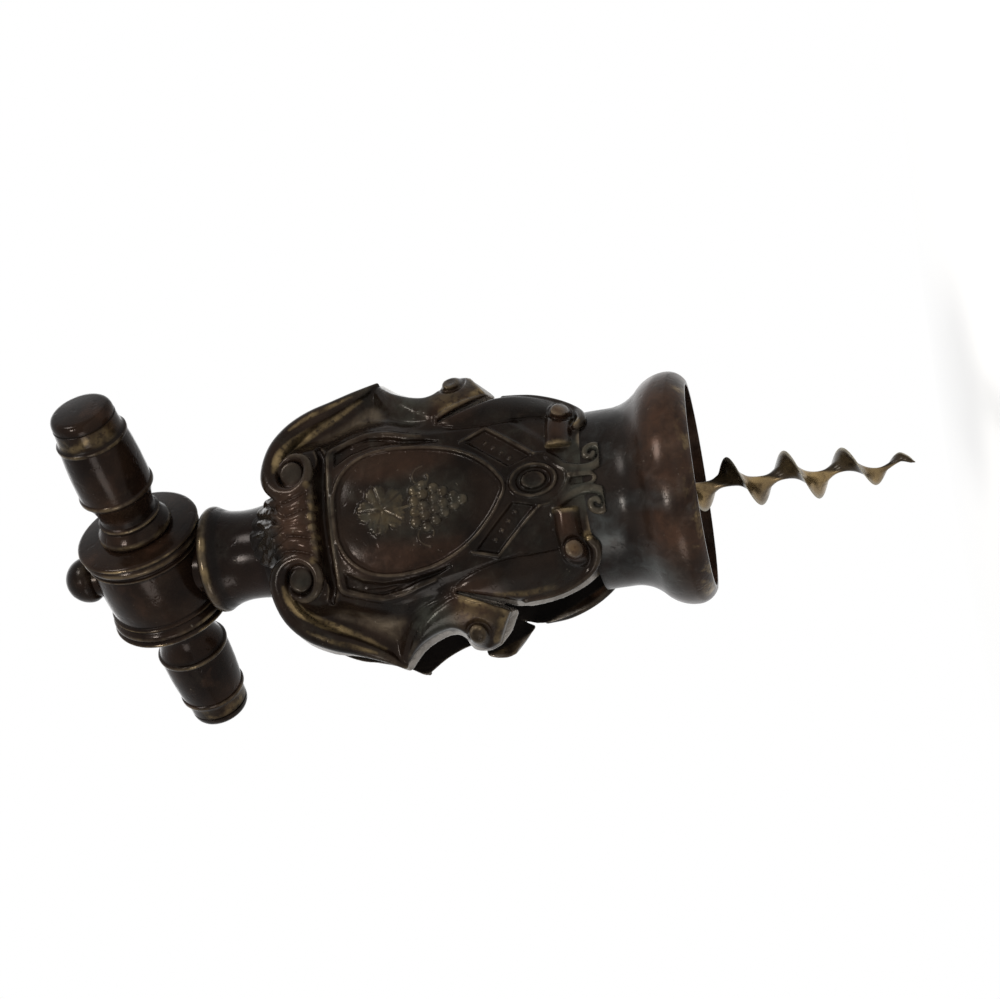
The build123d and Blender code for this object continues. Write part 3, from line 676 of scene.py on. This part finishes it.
def bronze(name, dark, brown, masks, sheen, patches, grey=GREY, gold=GOLD):
    """Old dark bronze: brown-black, lighter on its edges, brassy from rubbing and painted highlights,
    darkened in the hollows by soot and painted shade.

    masks(n, at) says how far each place's edge is lightened by wear (edge), how far it is brassy from
    rubbing and painted highlight (gold) and how far soot and painted shade darken it (hollow), and for some
    pieces how far it is grey-green (grey), copper brown (copper), a painted reflection on a side wall (wall)
    or out of sight (hidden).
    """
    mat, n = new_material(name)
    at = n.coords()
    broad = n.noise(at, 95.0, 3.0, 0.5)
    mid = n.noise(at, 420.0, 5.0, 0.62, 0.6)
    fine = n.noise(at, 2100.0, 4.0, 0.6)
    place = masks(n, at)
    base = n.mix(n.spread(broad, 0.36, 0.66), dark, brown)
    base = n.mix(n.spread(mid, 0.56, 0.76, 0.0, 0.3), base, tuple(1.5 * c for c in brown))
    tarnish = n.times(n.spread(n.noise(at, 150.0, 4.0, 0.6, 1.0), 0.5, 0.7), n.spread(mid, 0.35, 0.65))
    base = n.mix(n.times(tarnish, patches), base, grey)
    if "copper" in place:
        base = n.mix(n.times(place["copper"], n.spread(mid, 0.3, 0.62, 0.35, 0.9)), base, COPPER)
    if "grey" in place:
        base = n.mix(n.times(place["grey"], n.spread(mid, 0.32, 0.6, 0.2, 0.85)), base, grey)
    lightened = n.times(place["edge"], n.spread(mid, 0.34, 0.62, 0.15, 0.75))
    base = n.mix(lightened, base, LINE)
    # Brass from rubbing, and on the plates also painted highlights and reflection
    rubbed_and_highlit = n.times(place["gold"], n.spread(n.noise(at, 230.0, 3.0, 0.55), 0.36, 0.66, 0.1, 0.95))
    rubbed_and_highlit = n.times(rubbed_and_highlit, n.spread(n.noise(at, 950.0, 3.0, 0.6), 0.36, 0.48, 0.25, 1.0))
    base = n.mix(rubbed_and_highlit, base, gold)
    # Soot and painted shade in the hollows
    soot_and_shade = n.times(place["hollow"], n.spread(mid, 0.25, 0.75, 0.5, 1.0))
    base = n.mix(n.times(soot_and_shade, 0.85), base, SOOT_AND_SHADE)
    grains = n.spread(n.noise(at, 1100.0, 2.0, 0.5), 0.745, 0.775)
    base = n.mix(n.times(grains, 0.25), base, GRAIN)
    bare_and_sheen = rubbed_and_highlit
    # A pale metallic painted reflection on the plate's side wall
    if "wall" in place:
        painted_wall_sheen = n.times(place["wall"], n.spread(mid, 0.3, 0.6, 0.45, 1.0))
        base = n.mix(painted_wall_sheen, base, WALL_SHEEN)
        bare_and_sheen = n.most(rubbed_and_highlit, painted_wall_sheen)
    rough = n.math("ADD", sheen, n.times(n.spread(mid, 0.3, 0.75), 0.14))
    rough = n.math("ADD", rough, n.times(soot_and_shade, 0.25))
    rough = n.math("SUBTRACT", rough, n.times(lightened, 0.07))
    if "hidden" in place:
        base = n.mix(place["hidden"], base, UNSEEN)
        rough = n.math("ADD", rough, n.times(place["hidden"], 0.4))
    metallic = n.math("ADD", 0.2, n.times(bare_and_sheen, 0.7))
    grain = n.math("ADD", n.times(mid, 0.7), n.times(fine, 0.3))
    pits = n.spread(n.noise(at, 640.0, 2.0, 0.5), 0.30, 0.38)
    normal = n.bump(pits, 0.3, 0.00008, n.bump(grain, 0.3, 0.00014))
    n.surface(base, metallic, rough, normal, 0.06)
    return mat


def carved_masks(n, at):
    place = {name: n.attribute(name) for name in ("hidden", "gold", "grey", "copper", "wall")}
    place["edge"] = n.spread(n.attribute("edge"), 0.10, 0.42)
    place["hollow"] = n.spread(n.attribute("hollow"), 0.10, 0.55)
    return place


def bell_masks(n, at):
    """Patches of grey and purple brown on the throat, red brown on the belly and brass on the lip."""
    up, out = n.from_axis(at)
    blot = n.noise(at, 62.0, 3.0, 0.5, 0.5)
    small = n.noise(at, 260.0, 4.0, 0.6, 0.4)
    lip = n.times(n.spread(up, 2.2, 0.9), n.spread(out, 18.0, 19.0))
    belly = n.times(n.band(up, 3.2, 3.6, 0.2), n.spread(small, 0.42, 0.68))
    shade = n.times(n.spread(blot, 0.56, 0.68), n.spread(up, 5.0, 9.0))
    return {
        "edge": n.times(belly, 0.15),
        "gold": n.times(lip, n.spread(small, 0.5, 0.64, 0.0, 0.8)),
        "hollow": n.most(n.times(n.band(up, 18.9, 0.8), 0.8), n.times(shade, 0.6)),
        "hidden": n.times(n.spread(up, 0.4, 8.0, 0.3, 1.0), n.spread(out, 15.4, 14.8)),
        "grey": n.times(n.spread(blot, 0.48, 0.34, 0.0, 0.8), n.band(up, 12.0, 9.0, 0.5)),
        "copper": n.times(n.band(up, 3.0, 8.0, 0.4), n.spread(blot, 0.4, 0.6, 0.3, 0.9)),
    }


def neck_masks(n, at):
    """A rim at the top lightened by wear and brassy in patches, darker beside it and in the bend to the
    shoulder.
    """
    up, out = n.from_axis(at)
    rim = n.times(n.band(up, 89.3, 1.1), n.spread(out, 9.3, 9.8))
    patch = n.noise(at, 120.0, 3.0, 0.55)
    return {
        "edge": n.times(rim, 0.6),
        "gold": n.times(rim, n.spread(patch, 0.45, 0.62, 0.05, 0.8)),
        "hollow": n.most(n.band(up, 77.6, 2.4, 0.1), n.band(up, 87.4, 1.0)),
        "hidden": n.spread(up, 74.0, 69.8),
    }


# The handle's axis: its turn about the worm's axis and its height
HANDLE_TURN = math.radians(-48.9)
HANDLE_Z = 102.25
HANDLE_AXIS = (math.cos(HANDLE_TURN), math.sin(HANDLE_TURN), 0.0)


def handle_masks(n, at):
    """Brass lines on the hoops, brass between each grip's end hoop and its cap, darker in the grooves."""
    along, out = n.from_axis(at, HANDLE_AXIS, (0, 0, HANDLE_Z * MM))
    far = n.math("ABSOLUTE", along)

    def hoop(middle, half, low, high):
        return n.times(n.band(far, middle, half), n.spread(out, low, high))

    lip = hoop(9.2, 0.45, 11.2, 11.4)
    rings = n.most(lip, hoop(7.8, 0.6, 11.0, 11.2), hoop(6.0, 0.25, 10.7, 10.85),
                   hoop(13.45, 0.35, 5.5, 5.7), hoop(19.75, 0.5, 6.7, 6.85),
                   hoop(31.1, 0.45, 6.25, 6.4), hoop(11.0, 0.7, 6.6, 6.85))
    cap = n.times(n.band(far, 33.2, 1.7), n.spread(out, 5.2, 5.5, 0.0, 0.7))
    rubbed_and_highlit = n.most(n.times(rings, 0.45), cap, lip)
    grooves = n.most(*(n.band(far, middle, half) for middle, half in (
        (5.4, 0.3), (6.5, 0.25), (8.5, 0.2), (12.9, 0.3), (14.4, 0.8), (18.9, 0.4), (31.75, 0.3),
        (34.95, 0.3),
    )))
    patch = n.noise(at, 170.0, 3.0, 0.55)
    return {
        "edge": n.times(rings, n.spread(patch, 0.4, 0.65, 0.15, 0.6)),
        "gold": n.times(rubbed_and_highlit, n.spread(patch, 0.44, 0.64, 0.05, 0.9)),
        "hollow": n.times(grooves, 0.8),
        "hidden": n.times(n.spread(out, 2.4, 2.2), n.spread(far, 25.0, 24.0)),
        "copper": n.times(n.spread(n.noise(at, 130.0, 3.0, 0.6), 0.55, 0.7), 0.4),
    }


def patchy_masks(scale, edge, gold):
    """Wear by noise alone, for a piece without a rim or groove to follow."""
    def masks(n, at):
        mid = n.noise(at, scale, 3.0, 0.5)
        levels = {"edge": edge, "gold": gold, "hollow": (0.42, 0.3)}
        return {name: n.spread(mid, *level) for name, level in levels.items()}
    return masks


def steel(name, bright, dull, rust, rough=0.3, shaded_flank=None):
    """Old steel with golden and brown tarnish; the optional last colour is painted shade on the side that
    faces the point.
    """
    mat, n = new_material(name)
    at = n.coords()
    broad = n.noise(at, 130.0, 3.0, 0.55)
    mid = n.noise(at, 520.0, 5.0, 0.65, 0.8)
    base = n.mix(n.spread(broad, 0.35, 0.65), bright, dull)
    base = n.mix(n.times(n.spread(mid, 0.5, 0.7), 0.7), base, rust)
    metallic, gloss = 0.8, 0.5
    if shaded_flank:
        # Painted shade: the flank that faces the point is darker and less metallic
        side = n.attribute("shaded_flank")
        base = n.mix(n.times(side, n.spread(mid, 0.3, 0.7, 1.0, 0.8)), base, shaded_flank)
        # The blade's edge is paler: worn bright and a painted highlight
        edge = n.times(n.attribute("edge"), n.spread(mid, 0.4, 0.6, 0.5, 0.95))
        base = n.mix(edge, base, BRIGHT_EDGE)
        metallic, gloss = n.spread(side, 0.0, 1.0, 0.85, 0.15), 0.1
    roughness = n.spread(mid, 0.35, 0.75, rough, rough + 0.2)
    n.surface(base, metallic, roughness, n.bump(mid, 0.2, 0.00006), gloss)
    return mat


# The worm's last colour is painted shade on the flank that faces the point.
worm_steel = steel("worm_steel", (0.25, 0.175, 0.08), (0.105, 0.075, 0.042), (0.03, 0.017, 0.008), 0.2,
                   (0.006, 0.0042, 0.0028))
carved_bronze = bronze("carved_bronze", (0.0038, 0.0025, 0.0018), (0.0118, 0.007, 0.0046),
                       carved_masks, 0.13, 0.3)
bell_bronze = bronze("bell_bronze", (0.0046, 0.0033, 0.0028), (0.0125, 0.009, 0.0072), bell_masks, 0.15, 0.5,
                     (0.034, 0.037, 0.036))
neck_bronze = bronze("neck_bronze", (0.0048, 0.003, 0.0024), (0.0105, 0.0062, 0.0046),
                     neck_masks, 0.13, 0.22)
HANDLE_DARK, HANDLE_BROWN = (0.0044, 0.0025, 0.0018), (0.0128, 0.007, 0.0043)
HANDLE_GREY = (0.026, 0.02, 0.014)
handle_bronze = bronze("handle_bronze", HANDLE_DARK, HANDLE_BROWN, handle_masks, 0.11, 0.2, HANDLE_GREY)
nut_masks = patchy_masks(260.0, (0.5, 0.75, 0.0, 0.5), (0.7, 0.85, 0.0, 0.3))
nut_bronze = bronze("nut_bronze", HANDLE_DARK, HANDLE_BROWN, nut_masks, 0.14, 0.2, HANDLE_GREY)
bush_masks = patchy_masks(300.0, (0.45, 0.7), (0.62, 0.8, 0.0, 0.5))
bush_brass = bronze("bush_brass", (0.1, 0.07, 0.03), (0.22, 0.16, 0.06), bush_masks, 0.3, 0.3,
                    (0.09, 0.08, 0.045), (0.45, 0.34, 0.15))
spindle_steel = steel("spindle_steel", (0.26, 0.25, 0.235), (0.15, 0.14, 0.13), (0.1, 0.065, 0.04))

# The CAD pieces that are shown as they are
for material, names in (
    (bell_bronze, ("bell",)), (neck_bronze, ("neck_collar",)), (nut_bronze, ("dome_nut",)),
    (bush_brass, ("neck_bush", "upper_washer", "lower_washer")),
    (spindle_steel, ("spindle", "stop_collar", "collar_pin", "worm_pin", "handle_rod")),
):
    for name in names:
        shown = nodes[name].data
        shown.materials.clear()
        shown.materials.append(material)


def tints():
    """Where a plate is brass (rubbing and painted highlight), grey-green or copper brown, and where painted
    shade darkens it, on the half that its carving is on.
    """
    gold, grey, copper, shade = (Relief() for _ in range(4))
    # Brass along the roll: rubbing, with a painted highlight on its inner upper side and a painted
    # reflection on its outer side
    gold.bead([(10.2, 71.6, 0.4), (12.6, 71, 0.8), (14.7, 69.4, 0.9), (16.8, 66.3, 0.9), (18.3, 63, 0.7),
               (20, 59.7, 0.5), (22.1, 56.7, 0.35)], 1, 0.8)
    gold.bead([(17.9, 69, 0.3), (19.9, 65.4, 0.5), (21.4, 61.5, 0.5), (22.8, 58, 0.3)], 0.6)
    gold.bead([(19.4, 34.4, 0.8), (23.8, 37.6, 0.8)], 0.5, bend=False)
    gold.bead([(16.4, 41.5, 0.8), (18.4, 37.4, 0.9), (19.6, 35.4, 0.8)], 0.5)
    gold.bead([(5.8, 20.5, 0.7), (5.8, 23.7, 0.7)], 0.55, bend=False)
    gold.bead([(17.6, 26, 0.5), (17.9, 31, 0.5), (17, 36, 0.4)], 0.35)
    grey.bead([(0, 62, 1), (7.5, 61.9, 1)], 0.4)
    # The brass domes at the ends of the waist folds and on the hook's end are painted highlights
    for field, rows in (
        (gold, ((0.85, 65, 0.8, 0.7, 0.4), (2.6, 64.8, 0.8, 0.7, 0.4), (4.4, 64.8, 0.8, 0.7, 0.4),
                (6.6, 65.4, 0.8, 0.7, 0.4), (19.6, 40, 3.4, 4.2, 0.2), (22.4, 40.3, 1.7, 1.7, 0.35),
                (12.4, 21.5, 1.2, 1.2, 0.3), (10.2, 19.1, 1.1, 1, 0.8))),
        (grey, ((0, 75.5, 7.5, 5.5, 0.2), (3.2, 18, 5.5, 5, 0.9), (9.3, 68.4, 2.2, 2.2, 0.5),
                (19, 47, 4.5, 4.5, 0.7), (1, 46, 6.5, 10, 0.35))),
        (copper, ((0, 68, 9, 4.5, 0.6), (12.4, 21.5, 2, 2, 0.9), (8, 22, 4, 2.4, 0.5),
                  (8, 50, 3.5, 12, 0.45), (17.5, 40, 4.5, 7, 0.35))),
        # Painted shade over the broad hollows and the shoulder rolls
        (shade, ((17, 57, 4.5, 9, 1, 0.6), (16, 30, 4, 9.5, 0.9, 0.6),
                 (13, 44, 3, 5, 0.6))),
    ):
        for row in rows:
            field.dome(*row)
    drawn = {"gold": gold, "grey": grey, "copper": copper, "shade": shade}
    return {name: np.clip(field.h, 0, 1) for name, field in drawn.items()}


def rings_joined(first, rings, count):
    """Quads between rings of points that follow one another in a list."""
    faces = []
    for i in range(rings - 1):
        for k in range(count):
            a, b = first + i * count + k, first + i * count + (k + 1) % count
            faces.append((a, b, b + count, a + count))
    return faces


def blade_ring(r, h, b, k):
    """One section of the blade: heel at -h, edge at r, half thickness b, and how far it is root."""
    side = np.concatenate([np.sin(np.linspace(-math.pi / 2, 0, 7))[1:], np.linspace(0, 1, 14)[1:-1]])
    e = min(0.3 + 0.6 * k, 0.6 * b)
    middle = 0.3 * (r - h)
    upper = []
    for t in side:
        if t <= 0:
            upper.append((middle + t * (middle + h), b * math.sqrt(max(0.0, 1 - t * t))))
        else:
            upper.append((middle + t * (r - e - middle), e + (b - e) * (1 - t ** 1.35) * (1 - 0.1 * t)))
    for q in np.linspace(0, 1, 6)[:-1] * math.pi / 2:
        upper.append((r - e + e * math.sin(q), e * math.cos(q)))
    return [(-h, 0.0)] + upper + [(r, 0.0)] + [(u, -v) for u, v in reversed(upper)]


def worm_mesh(steps_a_turn=96):
    """The bladed worm: a thick heel and a thin rounded edge, wound round the axis and drawn to a point."""
    pitch, crest, tip, top, shank = 9.85, -4.6, -36.3, 54.5, 1.9
    heights = np.arange(tip, top, pitch / steps_a_turn)
    keys = np.array((-36.3, -35.6, -34.0, -31.8, -29.4, -26.5, -22.0, -17.0, -6.0, 60.0))
    far_out = np.interp(heights, keys, (0.6, 1.4, 2.2, 2.6, 3.1, 3.65, 4.35, 4.5, 4.5, 4.5))
    heel_in = np.interp(heights, keys, (-0.55, -0.2, -0.55, -0.35, -0.1, 0.15, 0.25, 0.4, 0.65, 0.75))
    thick = np.interp(heights, keys, (0.12, 0.5, 0.85, 1.0, 1.3, 1.75, 2.1, 2.3, 2.45, 2.45))
    root = step(top - 0.6 * pitch, top, heights)
    # The real worm's point leans aside
    drift = -1.95 * np.clip((6.0 - heights) / 42.0, 0, 1) ** 1.15
    verts, shaded_flanks, edges = [], [], []
    for z, r, h, b, k, d in zip(heights, far_out, heel_in, thick / 2, root, drift):
        r += k * (shank - 0.1 - r)
        ring = blade_ring(r, h + k * 0.75, b, k)
        turn = 2 * math.pi * (z - crest) / pitch
        c, s = math.cos(turn), math.sin(turn)
        verts += [(u * c - v * s + d, u * s + v * c, z) for u, v in ring]
        half = len(ring) // 2 - 1
        # 1 on the flank that faces the point, which the material darkens as painted shade
        shaded_flanks += [0.5] + [0.0] * half + [0.5] + [1.0] * half
        # The blade's edge, which the material makes paler: wear and a painted highlight
        edges += [float(step(0.8, 0.97, u / r)) for u, _ in ring]
    count, bladed = len(ring), len(verts)
    faces = rings_joined(0, len(heights), count)
    faces.append(tuple(range(count - 1, -1, -1)))
    # The shank, a round bar up into the spindle
    around = 40
    angles = 2 * math.pi * np.arange(around) / around
    for z, r in ((top - 0.6, shank - 0.15), (top, shank), (top + 8.9, shank)):
        verts += [(r * math.cos(t), r * math.sin(t), z) for t in angles]
    faces += rings_joined(bladed, 3, around)
    faces.append(tuple(range(bladed + around - 1, bladed - 1, -1)))
    faces.append(tuple(range(bladed + 2 * around, bladed + 3 * around)))
    faces.append(tuple(range(bladed - count, bladed)))
    mesh = bpy.data.meshes.new("twisted_worm")
    mesh.from_pydata([(x * MM, y * MM, z * MM) for x, y, z in verts], [], faces)
    mesh.validate()
    return mesh, shaded_flanks + [0.3] * (3 * around), edges + [0.0] * (3 * around)


# Half of the keg from its middle, and a grip from the keg's end face: along the handle and outwards
KEG_HALF = [
    (0, 10.72), (1.6, 10.7), (3.2, 10.62), (4.6, 10.48), (5.5, 10.36), (5.62, 10.45), (5.78, 10.74),
    (6, 10.84), (6.2, 10.76), (6.35, 10.5), (6.55, 10.46), (6.8, 10.62), (7.1, 10.98), (7.5, 11.18),
    (7.85, 11.22), (8.2, 11.12), (8.42, 10.88), (8.52, 10.84), (8.65, 11), (8.85, 11.3), (9.15, 11.44),
    (9.4, 11.34), (9.6, 11.05), (9.74, 10.7),
]
GRIP = [
    (9.74, 6.35), (9.95, 6.68), (10.4, 6.86), (11, 6.84), (11.6, 6.52), (12.2, 6), (12.7, 5.66),
    (12.82, 5.4), (13, 5.34), (13.12, 5.56), (13.3, 5.74), (13.6, 5.72), (13.8, 5.5), (13.95, 5.24),
    (14.6, 5.14), (15.6, 5.2), (16.8, 5.5), (18, 5.95), (18.95, 6.38), (19.1, 6.42), (19.2, 6.7),
    (19.45, 6.88), (19.8, 6.9), (20.1, 6.84), (20.3, 6.62), (22, 6.66), (25, 6.62), (28, 6.44),
    (30.45, 6.18), (30.6, 6.16), (30.72, 6.36), (31, 6.44), (31.35, 6.4), (31.55, 6.12), (31.7, 5.96),
    (32.5, 5.82), (33.6, 5.72), (34.7, 5.68), (34.82, 5.46), (35.02, 5.44), (35.14, 5.64), (35.6, 5.62),
    (36.1, 5.5), (36.5, 5.28), (36.78, 4.95), (36.94, 4.4), (36.94, 0),
]
# The tie rod's bore and its end in the grip, the spindle's bore, and the boss that rides on the washer
ROD_BORE = 2.02
GRIP_BORE_END = 23.14
TENON_BORE = 3.02
WASHER_R = nodes["upper_washer"].dimensions.x / 2 / MM
BOSS_R = WASHER_R - 0.5
KEG_SEAT = 91.55
BOSS_TOP = HANDLE_Z - 6.0
CORNER = math.radians(38)


def turned(shape, outline, lay, steps=112):
    """Sweeps a closed outline of (along, outwards) points; lay gives each point its place."""
    angles = np.arange(steps) * 2 * math.pi / steps
    rows = [[shape.verts.new(lay(x, r * math.cos(t), r * math.sin(t))) for t in angles] for x, r in outline]
    for near_row, far_row in zip(rows, rows[1:] + rows[:1]):
        for k in range(steps):
            m = (k + 1) % steps
            shape.faces.new((near_row[k], far_row[k], far_row[m], near_row[m]))


def turned_piece(name, parts):
    """One mesh from turned shells, smooth but for its sharp corners."""
    shape = bmesh.new()
    for outline, lay in parts:
        turned(shape, outline, lay)
    bmesh.ops.remove_doubles(shape, verts=shape.verts, dist=1e-7)
    bmesh.ops.recalc_face_normals(shape, faces=shape.faces)
    made = bpy.data.meshes.new(name)
    shape.to_mesh(made)
    shape.free()
    smooth_shade(made)
    made.set_sharp_from_angle(angle=CORNER)
    return link(name, made)


def along_handle(side=1):
    """Takes a point drawn along the handle to its place, and keeps it off the washer under the keg."""
    def lay(x, a, b):
        px = side * x * HANDLE_AXIS[0] - side * a * HANDLE_AXIS[1]
        py = side * x * HANDLE_AXIS[1] + side * a * HANDLE_AXIS[0]
        pz = HANDLE_Z + b
        if math.hypot(px, py) < WASHER_R + 0.6:
            pz = max(pz, KEG_SEAT)
        return px * MM, py * MM, pz * MM
    return lay


def upright(z, a, b):
    return a * MM, b * MM, z * MM


keg_end = KEG_HALF[-1][0]
keg_outline = [(-x, r) for x, r in reversed(KEG_HALF)] + KEG_HALF[1:]
keg_outline += [(keg_end, ROD_BORE), (-keg_end, ROD_BORE)]
boss_outline = [(KEG_SEAT, TENON_BORE), (KEG_SEAT, BOSS_R), (BOSS_TOP, BOSS_R), (BOSS_TOP, TENON_BORE)]
grip_outline = [(GRIP[0][0], ROD_BORE)] + GRIP + [(GRIP_BORE_END, 0.0), (GRIP_BORE_END, ROD_BORE)]
pieces = {
    "keg_hub": turned_piece("turned_keg", [(keg_outline, along_handle()), (boss_outline, upright)]),
    "front_grip": turned_piece("turned_front_grip", [(grip_outline, along_handle(1))]),
    "rear_grip": turned_piece("turned_rear_grip", [(grip_outline, along_handle(-1))]),
}
for name, piece in pieces.items():
    piece.data.materials.append(handle_bronze)
    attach(piece, "handle")
    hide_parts(name)

MOST_TRIANGLES = 190000


def carve_front():
    """The front plate, with its wear, its tints and its painted shade, highlights and wall reflection stored
    at its vertices.
    """
    solid = sculpt_plate(0.2)
    mesh, spots = solid.mesh("front_carving")
    obj = link("front_carving", mesh)
    edge = sample(blur(solid.f, 3), solid, spots)
    # How deep each place lies in a hollow, which the material darkens by soot and painted shade
    hollow = -sample(blur(solid.f, 6), solid, spots)
    x, y, z = spots.T
    wide, tall = solid.depth.shape
    column = cell(x, solid.low[0], solid.pitch, wide), cell(z, solid.low[2], solid.pitch, tall)
    deep, rim = y - solid.depth[column], solid.rim[column]
    hidden = step(WALL - 0.3, WALL + 0.05, deep)
    # The side wall, which takes a painted reflection
    wall = step(-0.45, -0.1, rim) * step(0.25, 0.6, deep)
    wall *= step(1.8, 1.2, rim) * step(72.5, 71.0, z) * step(19.5, 20.5, z)
    grids = tints()
    wide, tall = grids["shade"].shape
    drawn = cell(np.abs(x - lean(z)), 0.0, GRID, wide), cell(z, FOOT, GRID, tall)
    colours = {name: grid[drawn] * (1 - hidden) for name, grid in grids.items()}
    colours["wall"] = wall * (1 - hidden)
    # The motif is on the outer face, in front of y = -15
    motif = step(0.12, 0.4, grapes(x - 0.3 * lean(z), z)) * (y < -15)
    colours["grey"] = np.maximum(colours["grey"], 0.45 * motif)
    colours["gold"] = np.maximum(colours["gold"], 0.14 * motif)
    on_leaf = step(70.5, 72.5, z) * step(7.0, 6.0, np.abs(x))
    edge = edge * (1 - 0.75 * on_leaf)
    # Darker on the whole leaf, and painted shade over the broad hollows and the shoulder rolls
    hollow = hollow + 0.32 * on_leaf + 0.58 * colours.pop("shade")
    paint(obj, {"edge": edge, "hollow": hollow, "hidden": hidden, **colours})
    triangles = len(mesh.polygons) * 2
    if triangles > MOST_TRIANGLES:
        thin_out(obj, MOST_TRIANGLES / triangles)
    smooth_shade(obj.data)
    return obj


# The two carved plates
front = carve_front()
front.data.materials.append(carved_bronze)
back = link("back_carving", front.data.copy())
back.data.transform(Matrix.Rotation(math.pi, 4, "Z"))
# The back plate keeps a quarter of the painted wall reflection and half of the brass with its painted
# highlights, a more shaded copy of the front.
for name, share in (("wall", 0.25), ("gold", 0.5)):
    lightened = back.data.attributes[name]
    shares = np.zeros(len(back.data.vertices), np.float32)
    lightened.data.foreach_get("value", shares)
    lightened.data.foreach_set("value", shares * share)
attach(front, "frame")
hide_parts("front_cartouche")
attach(back, "frame")
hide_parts("back_cartouche")

# The worm, with painted shade on the flank that faces the point and a painted highlight along its blade's
# edge
mesh, shaded_flank, edge = worm_mesh()
worm = link("twisted_worm", mesh)
paint(worm, {"shaded_flank": shaded_flank, "edge": edge})
smooth_shade(mesh)
mesh.materials.append(worm_steel)
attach(worm, "handle")
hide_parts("worm")

# Stage: the object hangs in the air as in the photograph, over a white floor
camera = bpy.data.cameras.new("camera")
camera.sensor_width = 36.0
camera.lens = 56.42
camera.clip_start = 0.01
camera_object = link("camera", camera)
# The camera's axes and place, solved from the photograph
right = Vector((-0.1153, 0.2056, -0.9718))
down = Vector((-0.9727, 0.1748, 0.1524))
ahead = Vector((0.2012, 0.9629, 0.1799))
spot = Vector((-0.05363, -0.27043, -0.01463))
camera_object.matrix_world = Matrix.Translation(spot) @ Matrix((right, -down, -ahead)).transposed().to_4x4()
bpy.context.scene.camera = camera_object


MIDDLE = Vector((0, 0, 0.045))


def lamp(name, place, size, watts, colour=(1, 1, 1)):
    """A round lamp that points at the object's middle."""
    light = bpy.data.lights.new(name, "AREA")
    light.shape = "DISK"
    light.size = size
    light.energy = watts
    light.color = colour
    obj = link(name, light)
    obj.location = place
    obj.rotation_euler = (MIDDLE - Vector(place)).to_track_quat("-Z", "Y").to_euler()


lamp("key", (-0.25, -0.75, 0.45), 0.14, 4.5, (1.0, 0.97, 0.92))
lamp("window", (0.42, -0.62, 0.52), 0.24, 4.2, (1.0, 0.98, 0.95))
lamp("fill", (-0.8, -0.3, 0.05), 0.35, 2.6, (1.0, 0.98, 0.95))
lamp("rim", (0.3, 0.6, 0.5), 0.9, 1.4)

world = bpy.data.worlds.new("world")
world.use_nodes = True
bpy.context.scene.world = world
w = Nodes(world.node_tree)
world.node_tree.nodes.clear()
path = w.new("ShaderNodeLightPath")
seen = w.most(*(path.outputs[f"Is {kind} Ray"] for kind in ("Camera", "Glossy", "Transmission")))
sky = w.new("ShaderNodeBackground", {"Color": (1, 1, 1), "Strength": w.spread(seen, 0.0, 1.0, 0.55, 1.0)})
w.new("ShaderNodeOutputWorld", {"Surface": sky.outputs[0]})

FLOOR_HALF, FLOOR_Z = 1.6, -0.058
corners = [(a * FLOOR_HALF, b * FLOOR_HALF, FLOOR_Z) for a, b in ((-1, -1), (1, -1), (1, 1), (-1, 1))]
floor_mesh = bpy.data.meshes.new("floor")
floor_mesh.from_pydata(corners, [], [(0, 1, 2, 3)])
floor = link("floor", floor_mesh)
floor_white, f = new_material("floor_white")
diffuse = f.new("ShaderNodeBsdfDiffuse", {"Color": (0.9, 0.9, 0.9)})
white = f.new("ShaderNodeEmission", {"Color": (1, 1, 1), "Strength": 1.0})
# The floor takes the shadow near the object, and is plain white to the camera farther off
_, away = f.from_axis(f.coords())
far_out = f.times(f.spread(away, 60.0, 170.0), f.new("ShaderNodeLightPath").outputs["Is Camera Ray"])
blend = f.new("ShaderNodeMixShader", {0: far_out, 1: diffuse.outputs[0], 2: white.outputs[0]})
f.new("ShaderNodeOutputMaterial", {"Surface": blend.outputs[0]})
floor_mesh.materials.append(floor_white)

bpy.context.scene.view_settings.view_transform = "Standard"
